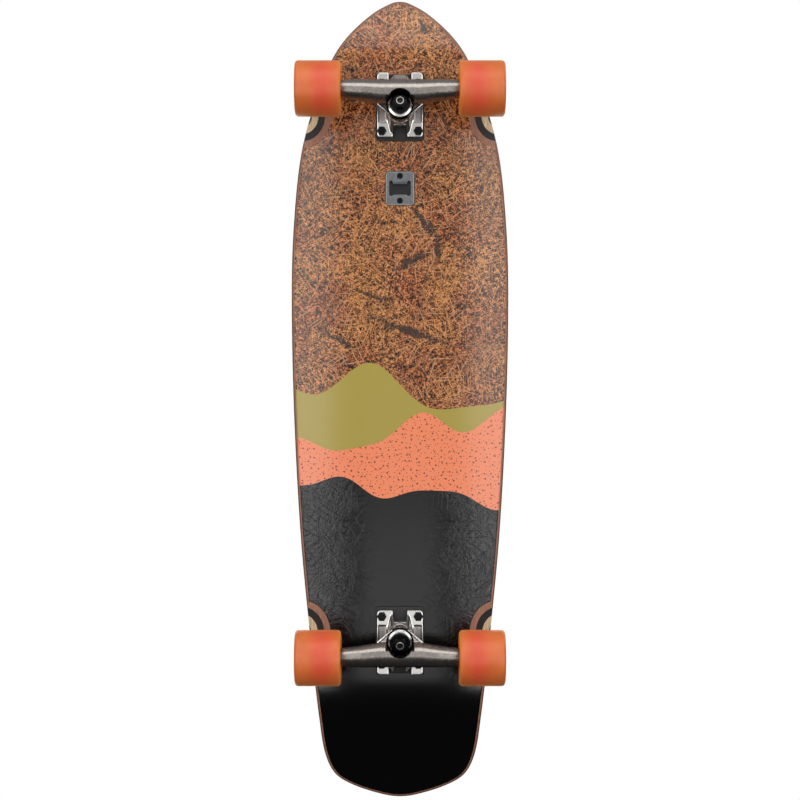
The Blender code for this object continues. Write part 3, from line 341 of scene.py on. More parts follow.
# Facets
WHEEL_STEPS = 144
HUB_STEPS = 64
PIN_STEPS = 64
BUSHING_STEPS = 96
BARREL_STEPS = 8
EDGE_STEPS = 4
WASHER_STEPS = 5
RACE_STEPS = 3
RING_STEPS = 96
BOLT_STEPS = 40
BAR_STEPS = 64
WELL_STEPS = 256
CORNER_STEPS = 8
SIDE_STEPS = 14
TIP_STEPS = 8
SMOOTH_ANGLE = math.radians(35)
EDGE_ANGLE = math.radians(40)
PLATE_EDGE_ANGLE = math.radians(50)
FLAT_ANGLE = 1e-4
WELD_DISTANCE = 1e-6
POLE_DISTANCE = 1e-5

# Worked out from the sizes above
DECK_UNDERSIDE = WHEEL_RADIUS + AXLE_DROP
DECK_TOP = DECK_UNDERSIDE + DECK_THICKNESS
GRIP_TOP = DECK_TOP + GAP + GRIP_THICKNESS
HALF_WIDTH = DECK_WIDTH / 2
HALF_LENGTH = DECK_LENGTH / 2
FRONT_TRUCK_Y = HALF_LENGTH - NOSE_TO_INNER_BOLTS + BOLT_SPACING_LONG / 2
REAR_TRUCK_Y = FRONT_TRUCK_Y - WHEELBASE - BOLT_SPACING_LONG
PLATE_INNER = -(BOLT_SPACING_LONG / 2 + PLATE_PAST_INNER_BOLTS)
PLATE_OUTER = BOLT_SPACING_LONG / 2 + PLATE_PAST_OUTER_BOLTS
RISER_OUTER = PLATE_OUTER + RISER_PAST_PLATE_OUTER
RISER_INNER = PLATE_INNER - RISER_PAST_PLATE_INNER
PLATE_TOP = -(GAP + RISER_THICKNESS + GAP)
PLATE_FACE = PLATE_TOP - PLATE_THICKNESS
NOSE_BEND_Y = FRONT_TRUCK_Y + RISER_OUTER + BEND_CLEARANCE
TAIL_BEND_Y = REAR_TRUCK_Y - RISER_OUTER - BEND_CLEARANCE
RING_CENTRE = Vector((0, -RING_IN, -RING_DROP))
AXLE_CENTRE = Vector((0, AXLE_OUT, -AXLE_DROP))
KINGPIN_FRAME = Matrix.Translation(RING_CENTRE) @ Matrix.Rotation(math.pi + KINGPIN_LEAN, 4, "X")
STEER_FRAME = Matrix.Translation(RING_CENTRE) @ Matrix.Rotation(STEER_ANGLE - math.pi / 2, 4, "X")
AXLE_FRAME = Matrix.Translation(AXLE_CENTRE) @ Matrix.Rotation(math.pi / 2, 4, "Y")

# Heights on the kingpin, from the middle of the ring
RING_FACE = RING_WEB / 2
RING_TOP = RING_FACE + RING_RIM_HEIGHT
UPPER_BUSHING_FROM = RING_FACE + GAP
UPPER_BUSHING_TO = UPPER_BUSHING_FROM + UPPER_BUSHING_HEIGHT
UPPER_WASHER_FROM = UPPER_BUSHING_TO + GAP
KINGPIN_NUT_FROM = UPPER_WASHER_FROM + WASHER_THICKNESS + GAP
KINGPIN_TIP = KINGPIN_NUT_FROM + KINGPIN_NUT_HEIGHT + KINGPIN_PROUD
LOWER_BUSHING_TO = -RING_FACE - GAP
LOWER_BUSHING_FROM = LOWER_BUSHING_TO - LOWER_BUSHING_HEIGHT
LOWER_WASHER_FROM = LOWER_BUSHING_FROM - GAP - WASHER_THICKNESS
TOWER_SEAT = LOWER_WASHER_FROM - GAP
KINGPIN_HEAD_TOP = TOWER_SEAT - KINGPIN_HEAD_COVER

# Depths on the steering axis, from the middle of the ring towards the pivot
CUP_MOUTH = PIVOT_LENGTH - CUP_DEPTH
CUP_END = PIVOT_LENGTH + GAP + CUP_FLOOR
CUP_RADIUS = PIVOT_TIP_RADIUS + GAP + CUP_WALL
HOUSING_SIDE = CUP_RADIUS + GAP + HOUSING_SIDE_WALL
HOUSING_CROWN = CUP_RADIUS + GAP + HOUSING_CROWN_WALL
HOUSING_MOUTH = CUP_MOUTH - GAP
HOUSING_END = CUP_END + GAP + GAP

# Places on the axle, from the middle of the board
HANGER_END = HANGER_WIDTH / 2
INNER_WASHER_FROM = HANGER_END + GAP
INNER_BEARING_FROM = INNER_WASHER_FROM + SPEED_WASHER_THICKNESS + GAP
SPACER_FROM = INNER_BEARING_FROM + BEARING_WIDTH + GAP
OUTER_BEARING_FROM = SPACER_FROM + SPACER_LENGTH + GAP
OUTER_WASHER_FROM = OUTER_BEARING_FROM + BEARING_WIDTH + GAP
AXLE_NUT_FROM = OUTER_WASHER_FROM + SPEED_WASHER_THICKNESS + GAP
AXLE_END = AXLE_NUT_FROM + AXLE_NUT_HEIGHT + AXLE_PROUD
WHEEL_OUTER_FACE_X = WHEEL_INNER_FACE_X + WHEEL_WIDTH
CORE_FROM = INNER_BEARING_FROM - CORE_PAST_BEARINGS
CORE_TO = OUTER_BEARING_FROM + BEARING_WIDTH + CORE_PAST_BEARINGS

# Bottle opener
OPENER_Y = HALF_LENGTH - NOSE_TO_INNER_BOLTS - OPENER_BEHIND_INNER_BOLTS

# Where the core's red shows most through the tyre, from the middle of the board
RED_MIDDLE = (CORE_FROM + CORE_TO) / 2 - CORE_FLANGE
# From the truck's axes to the kingpin's
TO_KINGPIN = KINGPIN_FRAME.inverted()


# Node trees, written as sums

class Graph:
    """A node tree whose nodes are added by name and fed with numbers or other nodes' outputs."""

    def __init__(self, tree):
        self.tree = tree

    def node(self, kind, inputs=(), **settings):
        made = self.tree.nodes.new(kind)
        for name, value in settings.items():
            setattr(made, name, value)
        for key, value in dict(inputs).items():
            self.feed(made.inputs[key], value)
        return made

    def feed(self, socket, value):
        if isinstance(value, bpy.types.NodeSocket):
            self.tree.links.new(value, socket)
        else:
            socket.default_value = value

    def calc(self, operation, *values):
        return self.node("ShaderNodeMath", enumerate(values), operation=operation).outputs[0]

    def vector(self, operation, *values):
        return self.node("ShaderNodeVectorMath", enumerate(values), operation=operation).outputs[0]

    def ramp(self, value, low, high):
        """0 at low to 1 at high, eased at both ends. low may be the larger."""
        values = {0: value, 1: low, 2: high, 3: 0.0, 4: 1.0}
        return self.node("ShaderNodeMapRange", values, interpolation_type="SMOOTHSTEP").outputs[0]

    def mix(self, factor, first, second, blend="MIX"):
        values = {0: factor, 6: first, 7: second}
        return self.node("ShaderNodeMix", values, data_type="RGBA", blend_type=blend).outputs[2]

    def noise(self, vector, scale, detail, roughness=0.5, dimensions="2D"):
        values = {"Vector": vector, "Scale": scale, "Detail": detail, "Roughness": roughness}
        return self.node("ShaderNodeTexNoise", values, noise_dimensions=dimensions)

    def cells(self, vector, scale):
        """Scattered cells: how far their middles are, and a random colour for each."""
        values = {"Vector": vector, "Scale": scale}
        return self.node("ShaderNodeTexVoronoi", values, voronoi_dimensions="2D").outputs

    def place(self):
        """The piece's own coordinates, in metres."""
        return self.node("ShaderNodeTexCoord").outputs["Object"]

    def parts(self, vector):
        return self.node("ShaderNodeSeparateXYZ", {0: vector}).outputs

    def use(self, group, **inputs):
        """A node group's outputs. Its inputs are given by name, with _ for a space."""
        made = self.node(self.tree.bl_idname.replace("Tree", "Group"))
        made.node_tree = group
        for name, value in inputs.items():
            self.feed(made.inputs[name.replace("_", " ")], value)
        return made.outputs


def new_group(name, inputs, outputs, kind="ShaderNodeTree"):
    """A group with named inputs, each with its socket type and value, and named outputs."""
    tree = bpy.data.node_groups.new(name, kind)
    for label, (socket, value) in inputs.items():
        made = tree.interface.new_socket(label, in_out="INPUT", socket_type=f"NodeSocket{socket}")
        if value is not None:
            made.default_value = value
    for label, socket in outputs.items():
        tree.interface.new_socket(label, in_out="OUTPUT", socket_type=f"NodeSocket{socket}")
    given = tree.nodes.new("NodeGroupInput").outputs
    result = tree.nodes.new("NodeGroupOutput").inputs
    return Graph(tree), given, result


def srgb(red, green, blue):
    """A colour as a picture shows it, 0 to 255, as linear light."""
    linear = [
        share / 12.92 if share <= 0.04045 else ((share + 0.055) / 1.055) ** 2.4
        for share in (red / 255, green / 255, blue / 255)
    ]
    return (*linear, 1)


# The pressed shape of the deck, the same for meshes and for finishes

PRESS_SIZES = {
    "Concave Rise": CONCAVE_RISE,
    "Flat Half Width": FLAT_WIDTH / 2,
    "Half Width": HALF_WIDTH,
    "Nose Bend Start": NOSE_BEND_Y,
    "Nose Bend Length": NOSE_BEND,
    "Nose Slope": math.tan(NOSE_ANGLE),
    "Tail Bend Start": -TAIL_BEND_Y,
    "Tail Bend Length": TAIL_BEND,
    "Tail Slope": math.tan(TAIL_ANGLE),
}


def kick_sum(graph, past, length, slope):
    """How far the deck has risen at a distance past the start of a bend."""
    bent = graph.calc("MINIMUM", graph.calc("MAXIMUM", past, 0.0), length)
    curved = graph.calc("DIVIDE", graph.calc("MULTIPLY", bent, bent), graph.calc("MULTIPLY", length, 2.0))
    straight = graph.calc("MAXIMUM", graph.calc("SUBTRACT", past, length), 0.0)
    return graph.calc("MULTIPLY", graph.calc("ADD", curved, straight), slope)


def lift_sum(graph, x, y, given):
    """How far the pressed deck stands above its flat middle."""
    flat = given["Flat Half Width"]
    past_flat = graph.calc("MAXIMUM", graph.calc("SUBTRACT", graph.calc("ABSOLUTE", x), flat), 0.0)
    share = graph.calc("DIVIDE", past_flat, graph.calc("SUBTRACT", given["Half Width"], flat))
    concave = graph.calc("MULTIPLY", graph.calc("MULTIPLY", share, share), given["Concave Rise"])
    past_nose = graph.calc("SUBTRACT", y, given["Nose Bend Start"])
    past_tail = graph.calc("SUBTRACT", graph.calc("MULTIPLY", y, -1.0), given["Tail Bend Start"])
    nose = kick_sum(graph, past_nose, given["Nose Bend Length"], given["Nose Slope"])
    tail = kick_sum(graph, past_tail, given["Tail Bend Length"], given["Tail Slope"])
    return graph.calc("ADD", concave, graph.calc("ADD", nose, tail))


def press_inputs():
    return {name: ("Float", value) for name, value in PRESS_SIZES.items()}


def press_tree():
    """Lifts a flat sheet to the pressed shape."""
    inputs = {"Geometry": ("Geometry", None), **press_inputs(), "Material": ("Material", None)}
    graph, given, result = new_group("Press", inputs, {"Geometry": "Geometry"}, "GeometryNodeTree")
    x, y, _ = graph.parts(graph.node("GeometryNodeInputPosition").outputs[0])
    offset = graph.node("ShaderNodeCombineXYZ", {"Z": lift_sum(graph, x, y, given)}).outputs[0]
    pressed = graph.node("GeometryNodeSetPosition", {"Geometry": given["Geometry"], "Offset": offset})
    finished_tree(graph, given, result, pressed.outputs[0])
    return graph.tree


def set_out_tree():
    """Sets one fastener out four to a truck."""
    inputs = {
        "Geometry": ("Geometry", None),
        "Wide Spacing": ("Float", BOLT_SPACING_WIDE),
        "Long Spacing": ("Float", BOLT_SPACING_LONG),
        "Front Middle": ("Vector", (0, FRONT_TRUCK_Y, 0)),
        "Rear Middle": ("Vector", (0, REAR_TRUCK_Y, 0)),
        "Material": ("Material", None),
    }
    graph, given, result = new_group("Set Out Bolts", inputs, {"Geometry": "Geometry"}, "GeometryNodeTree")
    spacing = {"Size X": given["Wide Spacing"], "Size Y": given["Long Spacing"]}
    sizes = {**spacing, "Vertices X": 2, "Vertices Y": 2}
    four = graph.node("GeometryNodeMeshGrid", sizes).outputs["Mesh"]
    both = graph.node("GeometryNodeJoinGeometry")
    for middle in ("Front Middle", "Rear Middle"):
        moved_four = graph.node("GeometryNodeTransform", {"Geometry": four, "Translation": given[middle]})
        graph.tree.links.new(moved_four.outputs[0], both.inputs[0])
    points = graph.node("GeometryNodeMeshToPoints", {"Mesh": both.outputs[0]}).outputs[0]
    bolts = graph.node("GeometryNodeInstanceOnPoints", {"Points": points, "Instance": given["Geometry"]})
    finished_tree(graph, given, result, bolts.outputs[0])
    return graph.tree


def finished_tree(graph, given, result, geometry):
    real = graph.node("GeometryNodeRealizeInstances", {"Geometry": geometry}).outputs[0]
    painted = graph.node("GeometryNodeSetMaterial", {"Geometry": real, "Material": given["Material"]})
    graph.tree.links.new(painted.outputs[0], result["Geometry"])


def shaped_by(obj, tree, material):
    """The object as the tree makes it, as a plain mesh."""
    modifier = obj.modifiers.new(tree.name, "NODES")
    modifier.node_group = tree
    for item in tree.interface.items_tree:
        if item.item_type == "SOCKET" and item.in_out == "INPUT" and item.name == "Material":
            modifier[item.identifier] = material
    return bake(obj)


# Effects that several finishes share

MM = 1000.0
# Threads lying in the veneer: direction in degrees, and the cell that each has to itself, in millimetres
THREAD_LAYERS = (
    (6, 96.0, 3.0),
    (34, 72.0, 2.6),
    (63, 104.0, 3.1),
    (92, 70.0, 2.6),
    (121, 90.0, 2.9),
    (149, 78.0, 2.6),
)
# The short fibres of the ground: degrees, length and width in millimetres
GRAIN_LAYERS = ((22, 3.6, 0.75), (81, 3.0, 0.7), (142, 3.4, 0.8))
# Charcoal streaks, in millimetres from the middle of the board: x, y, degrees, length, width
STREAKS_BELOW = (
    (-26, 204, 48, 44, 9),
    (-43, 172, 84, 34, 8),
    (-11, 157, 150, 42, 9),
    (26, 117, 14, 42, 6),
    (-10, 79, 19, 96, 9),
    (72, 71, 27, 46, 6),
    (-26, 426, 62, 22, 6),
)
STREAKS_ABOVE = (
    (55, 354, 130, 26, 12),
    (20, 283, 128, 48, 9),
    (62, 196, 40, 40, 12),
    (8, 210, 158, 40, 6),
    (28, 138, 100, 34, 9),
    (-56, 150, 62, 34, 8),
    (-60, 60, 128, 44, 9),
)
STREAK_STRENGTH = 0.92
# How much a plain finish darkens and lightens in patches
SHADING = 0.12


def in_millimetres(graph, vector):
    return graph.vector("MULTIPLY", vector, (MM, MM, 0.0))


def turned_and_stretched(graph, vector, degrees, width, length, shift):
    moved_on = graph.vector("ADD", vector, (shift, -shift, 0.0))
    spun = graph.node(
        "ShaderNodeVectorRotate", {"Vector": moved_on, "Angle": math.radians(degrees)}, rotation_type="Z_AXIS"
    ).outputs[0]
    return graph.vector("DIVIDE", spun, (length, width, 1.0))


def fibre_mat_group():
    """Husk pressed flat: fine pale threads lying every way over a ground of brown grains."""
    inputs = {
        "Vector": ("Vector", None),
        "Bend": ("Float", 9.0),
        "Paleness": ("Float", 0.72),
        "Contrast": ("Float", 1.9),
    }
    outputs = {"Color": "Color", "Height": "Float"}
    graph, given, result = new_group("Fibre Mat", inputs, outputs)
    flat = in_millimetres(graph, given["Vector"])
    bend = graph.noise(flat, 1 / 38, 1.0).outputs["Color"]
    bend = graph.vector("SUBTRACT", bend, (0.5, 0.5, 0.5))
    bend = graph.node("ShaderNodeVectorMath", {0: bend, "Scale": given["Bend"]}, operation="SCALE").outputs[0]
    bent = graph.vector("ADD", flat, bend)
    pale = 0.0
    for index, (degrees, length, width) in enumerate(THREAD_LAYERS):
        along = turned_and_stretched(graph, bent, degrees, width, length, 37.0 * (index + 1))
        cell = graph.cells(along, 1.0)
        chance, _, _ = graph.parts(cell["Color"])
        core = graph.ramp(cell["Distance"], 0.21, 0.08)
        thread = graph.calc("MULTIPLY", core, graph.ramp(chance, 0.25, 1.0))
        pale = graph.calc("MAXIMUM", pale, thread)
    grains = []
    for degrees, length, width in GRAIN_LAYERS:
        along = turned_and_stretched(graph, bent, degrees, width, length, degrees)
        grains.append(graph.parts(graph.cells(along, 1.0)["Color"]))
    grain = graph.calc("ADD", graph.calc("ADD", grains[0][0], grains[1][0]), grains[2][0])
    grain = graph.calc("SUBTRACT", graph.calc("DIVIDE", grain, 3.0), 0.5)
    grain = graph.calc("ADD", graph.calc("MULTIPLY", grain, given["Contrast"]), 0.5)
    tint = grains[0][1]
    broad = graph.noise(flat, 1 / 58, 3.0).outputs["Fac"]
    ground = graph.mix(graph.ramp(grain, 0.24, 0.56), srgb(24, 8, 2), srgb(138, 78, 36))
    ground = graph.mix(graph.ramp(grain, 0.56, 0.88), ground, srgb(222, 152, 96))
    ground = graph.mix(graph.ramp(broad, 0.38, 0.62), ground, srgb(240, 216, 206), "MULTIPLY")
    pits = graph.ramp(graph.cells(bent, 1 / 4.4)["Distance"], 0.26, 0.14)
    ground = graph.mix(graph.calc("MULTIPLY", pits, graph.ramp(tint, 0.1, 0.9)), ground, srgb(24, 10, 6))
    thread_colour = graph.mix(graph.ramp(broad, 0.4, 0.6), srgb(216, 152, 84), srgb(214, 164, 118))
    colour = graph.mix(graph.calc("MULTIPLY", pale, given["Paleness"]), ground, thread_colour)
    graph.feed(result["Color"], colour)
    graph.feed(result["Height"], pale)
    return graph.tree


def streak_group():
    """One feathered charcoal streak, brushed across. Places and sizes in millimetres."""
    inputs = {
        "Vector": ("Vector", None),
        "Middle": ("Vector", (0.0, 0.0, 0.0)),
        "Degrees": ("Float", 0.0),
        "Length": ("Float", 40.0),
        "Width": ("Float", 8.0),
    }
    graph, given, result = new_group("Charcoal Streak", inputs, {"Mask": "Float"})
    flat = in_millimetres(graph, given["Vector"])
    sway = graph.noise(flat, 1 / 12, 3.0, 0.65).outputs["Color"]
    sway = graph.vector("MULTIPLY", graph.vector("SUBTRACT", sway, (0.5, 0.5, 0.5)), (14, 14, 0))
    away = graph.vector("ADD", graph.vector("SUBTRACT", flat, given["Middle"]), sway)
    turn = graph.calc("RADIANS", graph.calc("MULTIPLY", given["Degrees"], -1.0))
    spin = {"Vector": away, "Angle": turn}
    own = graph.node("ShaderNodeVectorRotate", spin, rotation_type="Z_AXIS").outputs[0]
    x, y, _ = graph.parts(own)
    across = graph.calc("DIVIDE", y, graph.calc("MULTIPLY", given["Width"], 0.5))
    along = graph.calc("DIVIDE", x, graph.calc("MULTIPLY", given["Length"], 0.5))
    reach = graph.calc("ADD", graph.calc("MULTIPLY", across, across), graph.calc("MULTIPLY", along, along))
    brushed = graph.noise(graph.vector("DIVIDE", own, (1.7, 7.0, 1.0)), 1.0, 2.0, 0.6).outputs["Fac"]
    grains = graph.noise(flat, 1 / 1.3, 2.0, 0.6).outputs["Fac"]
    brushed = graph.calc("ADD", graph.calc("MULTIPLY", brushed, 0.6), graph.calc("MULTIPLY", grains, 0.4))
    brushed = graph.calc("ADD", brushed, graph.calc("MULTIPLY", graph.ramp(reach, 1.0, 0.0), 0.10))
    mask = graph.calc("MULTIPLY", graph.ramp(reach, 1.3, 0.7), graph.ramp(brushed, 0.45, 0.56))
    graph.feed(result["Mask"], mask)
    return graph.tree


def streaked(graph, place, streaks, colour, charcoal):
    """The colour with every streak laid over it."""
    mask = 0.0
    for x, y, degrees, length, width in streaks:
        sizes = {"Middle": (x, y, 0), "Degrees": degrees, "Length": length, "Width": width}
        mask = graph.calc("MAXIMUM", mask, graph.use(CHARCOAL_STREAK, Vector=place, **sizes)["Mask"])
    return graph.mix(graph.calc("MULTIPLY", mask, STREAK_STRENGTH), colour, charcoal)


def wave_edge_group():
    """1 on the tail side of a wavy line across the board, 0 on its nose side. Sizes in millimetres."""
    inputs = {
        "Vector": ("Vector", None),
        "Level": ("Float", 0.0),
        "Slope": ("Float", 0.0),
        "Swell": ("Float", 14.0),
        "Wave Length": ("Float", 150.0),
        "Phase": ("Float", 0.0),
    }
    graph, given, result = new_group("Wave Edge", inputs, {"Mask": "Float"})
    x, y, _ = graph.parts(in_millimetres(graph, given["Vector"]))
    turns = graph.calc("DIVIDE", graph.calc("MULTIPLY", x, 2 * math.pi), given["Wave Length"])
    long_wave = graph.calc("SINE", graph.calc("ADD", turns, given["Phase"]))
    faster = graph.calc("MULTIPLY", turns, 1.7)
    short_wave = graph.calc("SINE", graph.calc("SUBTRACT", faster, given["Phase"]))
    wave = graph.calc("ADD", long_wave, graph.calc("MULTIPLY", short_wave, 0.35))
    line = graph.calc("ADD", given["Level"], graph.calc("MULTIPLY", given["Swell"], wave))
    line = graph.calc("ADD", line, graph.calc("MULTIPLY", given["Slope"], x))
    below = graph.calc("SUBTRACT", line, y)
    graph.feed(result["Mask"], graph.ramp(below, -0.3, 0.3))
    return graph.tree


def dots_group():
    """Small round dots strewn evenly. Sizes in millimetres."""
    inputs = {"Vector": ("Vector", None), "Spacing": ("Float", 8.0), "Radius": ("Float", 0.7)}
    graph, given, result = new_group("Strewn Dots", inputs, {"Mask": "Float"})
    flat = in_millimetres(graph, given["Vector"])
    scale = graph.calc("DIVIDE", 1.0, given["Spacing"])
    cells = graph.node(
        "ShaderNodeTexVoronoi",
        {"Vector": flat, "Scale": scale, "Randomness": 0.8},
        voronoi_dimensions="2D",
    )
    away = graph.calc("MULTIPLY", cells.outputs["Distance"], given["Spacing"])
    inner = graph.calc("SUBTRACT", given["Radius"], 0.2)
    graph.feed(result["Mask"], graph.ramp(away, given["Radius"], inner))
    return graph.tree


# The plies from the underside up: where each starts, in millimetres, and its colour
PLIES = (
    (0.0, srgb(104, 58, 36)),
    (0.25, srgb(172, 122, 100)),
    (1.75, srgb(22, 20, 20)),
    (3.35, srgb(232, 204, 164)),
    (4.8, srgb(24, 22, 22)),
    (6.4, srgb(232, 204, 164)),
    (7.9, srgb(170, 118, 96)),
    (9.4, srgb(214, 184, 146)),
)


def ply_group():
    """The pressed plies, coloured by their height over the deck's underside."""
    inputs = {"Vector": ("Vector", None), **press_inputs()}
    graph, given, result = new_group("Plies", inputs, {"Color": "Color", "Height": "Float", "Grain": "Float"})
    x, y, z = graph.parts(given["Vector"])
    over = graph.calc("SUBTRACT", graph.calc("SUBTRACT", z, DECK_UNDERSIDE), lift_sum(graph, x, y, given))
    height = graph.calc("MULTIPLY", over, MM)
    ramp = graph.node("ShaderNodeValToRGB", {"Fac": graph.calc("DIVIDE", height, DECK_THICKNESS * MM)})
    ramp.color_ramp.interpolation = "CONSTANT"
    steps = ramp.color_ramp.elements
    for start, colour in PLIES[2:]:
        steps.new(start / (DECK_THICKNESS * MM)).color = colour
    for step, (start, colour) in zip(steps, PLIES):
        step.position = start / (DECK_THICKNESS * MM)
        step.color = colour
    along = graph.vector("MULTIPLY", given["Vector"], (900.0, 34.0, 900.0))
    grain = graph.noise(along, 1.0, 3.0, 0.6, "3D").outputs["Fac"]
    shade = graph.mix(graph.ramp(grain, 0.35, 0.70), srgb(196, 190, 184), srgb(255, 255, 255))
    graph.feed(result["Color"], graph.mix(0.8, ramp.outputs["Color"], shade, "MULTIPLY"))
    graph.feed(result["Height"], height)
    graph.feed(result["Grain"], grain)
    return graph.tree


def surface_group():
    """Uneven gloss and a fine grain, for metal, rubber and moulded pieces."""
    inputs = {
        "Vector": ("Vector", None),
        "Grain Size": ("Float", 0.0006),
        "Gloss": ("Float", 0.3),
        "Unevenness": ("Float", 0.1),
    }
    graph, given, result = new_group("Surface", inputs, {"Roughness": "Float", "Height": "Float"})
    scale = graph.calc("DIVIDE", 1.0, given["Grain Size"])
    grain = graph.noise(given["Vector"], scale, 2.0, 0.6, "3D").outputs["Fac"]
    patches = graph.noise(given["Vector"], 140.0, 3.0, 0.6, "3D").outputs["Fac"]
    both = graph.calc("ADD", graph.calc("MULTIPLY", grain, 0.3), graph.calc("MULTIPLY", patches, 0.7))
    change = graph.calc("MULTIPLY", graph.calc("SUBTRACT", both, 0.5), given["Unevenness"])
    graph.feed(result["Roughness"], graph.calc("ADD", given["Gloss"], graph.calc("MULTIPLY", change, 2.0)))
    graph.feed(result["Height"], grain)
    return graph.tree


# Finishes

def new_material(name):
    material = bpy.data.materials.new(name)
    material.use_nodes = True
    graph = Graph(material.node_tree)
    shader = material.node_tree.nodes["Principled BSDF"]
    return material, graph, shader


def bumped(graph, shader, height, distance):
    values = {"Height": height, "Distance": distance, "Strength": 1.0}
    graph.feed(shader.inputs["Normal"], graph.node("ShaderNodeBump", values).outputs[0])


# Along the board, where the creases in the black ink are full and where they have gone
CREASES_FULL = -0.24
CREASES_END = -0.34
# Out from the middle line, where they begin and where they are full
CREASES_IN = 0.020
CREASES_OUT = 0.085


def opener_gap_shade(graph, place):
    """Painted shade: the dark line on the deck round the opener, where the gap between them lies in shadow.
    """
    x, y, _ = graph.parts(place)
    past_side = graph.calc("SUBTRACT", graph.calc("ABSOLUTE", x), OPENER_WIDTH / 2 - OPENER_CORNER)
    past_end = graph.calc("ABSOLUTE", graph.calc("SUBTRACT", y, OPENER_Y))
    past_end = graph.calc("SUBTRACT", past_end, OPENER_LENGTH / 2 - OPENER_CORNER)
    squares = [graph.calc("POWER", graph.calc("MAXIMUM", past, 0.0), 2.0) for past in (past_side, past_end)]
    away = graph.calc("SQRT", graph.calc("ADD", *squares))
    return graph.ramp(away, OPENER_CORNER + OPENER_SHADOW, OPENER_CORNER + OPENER_SHADOW / 2)


# The nose-side edge of each printed band, in millimetres: level, slope, swell, wave length, and phase
BANDS_BELOW = (
    (12.0, 0.14, 19.0, 176.0, 0.5),
    (-36.0, -0.20, 13.0, 132.0, 2.4),
    (-104.0, 0.10, 8.0, 118.0, 4.0),
)
BANDS_ABOVE = (
    (22.0, -0.12, 17.0, 182.0, 1.9),
    (-24.0, 0.16, 13.0, 140.0, 0.2),
    (-72.0, -0.05, 8.0, 122.0, 3.1),
)


def band_masks(graph, place, bands):
    """A mask for each band, the nose's first: 1 on the band and on all that lies tailwards of it."""
    names = ("Level", "Slope", "Swell", "Wave_Length", "Phase")
    return [graph.use(WAVE_EDGE, Vector=place, **dict(zip(names, band)))["Mask"] for band in bands]


def printed_fibre():
    """The deck: a lacquered print on the fibre veneer below, and bare plies in its edges and wells."""
    material, graph, shader = new_material("printed_fibre")
    place = graph.place()
    plies = graph.use(PLY_LAYERS, Vector=place)
    fibre = graph.use(FIBRE_MAT, Vector=place)
    olive, coral, black = band_masks(graph, place, BANDS_BELOW)
    dots = graph.use(STREWN_DOTS, Vector=place, Spacing=8.4, Radius=1.0)
    specks = graph.use(STREWN_DOTS, Vector=place, Spacing=5.2, Radius=0.62)
    dotted = graph.calc("MAXIMUM", dots["Mask"], specks["Mask"])
    coral_ink = graph.mix(graph.calc("MULTIPLY", dotted, 0.92), srgb(240, 136, 96), srgb(52, 26, 22))
    colour = streaked(graph, place, STREAKS_BELOW, fibre["Color"], srgb(48, 38, 34))
    colour = graph.mix(olive, colour, srgb(168, 150, 68))
    colour = graph.mix(coral, colour, coral_ink)
    colour = graph.mix(black, colour, srgb(6, 6, 6))
    # Painted shade on the deck round the opener
    colour = graph.mix(opener_gap_shade(graph, place), colour, srgb(10, 7, 6))
    wood = graph.ramp(plies["Height"], 0.20, 0.30)
    graph.feed(shader.inputs["Base Color"], graph.mix(wood, colour, plies["Color"]))
    gloss = graph.mix(black, (0.20, 0.20, 0.20, 1), (0.15, 0.15, 0.15, 1))
    graph.feed(shader.inputs["Roughness"], graph.mix(wood, gloss, (0.42, 0.42, 0.42, 1)))
    # The veneer's creases show in the black ink's gloss, and fade towards the tail
    x, y, _ = graph.parts(place)
    folds = graph.noise(graph.vector("MULTIPLY", place, (75, 105, 0)), 1.0, 4.0, 0.66).outputs["Fac"]
    creases = graph.calc("ABSOLUTE", graph.calc("SUBTRACT", folds, 0.5))
    creases = graph.calc("POWER", graph.calc("SUBTRACT", 1.0, graph.calc("MULTIPLY", creases, 4.0)), 2.0)
    sides = graph.calc("ADD", 0.08, graph.ramp(graph.calc("ABSOLUTE", x), CREASES_IN, CREASES_OUT))
    creased = graph.calc("MULTIPLY", black, graph.ramp(y, CREASES_END, CREASES_FULL))
    creased = graph.calc("MULTIPLY", creased, sides)
    thin = graph.calc("SUBTRACT", 1.0, graph.calc("MAXIMUM", coral, olive))
    shown = graph.calc("ADD", graph.calc("MULTIPLY", thin, 0.3), graph.calc("MULTIPLY", creased, 1.6))
    threads = graph.calc("MULTIPLY", fibre["Height"], shown)
    relief = graph.calc("ADD", threads, graph.calc("MULTIPLY", graph.calc("MULTIPLY", creases, creased), 1.4))
    relief = graph.mix(wood, relief, graph.calc("MULTIPLY", plies["Grain"], 0.15))
    bumped(graph, shader, relief, 0.00010)
    return material


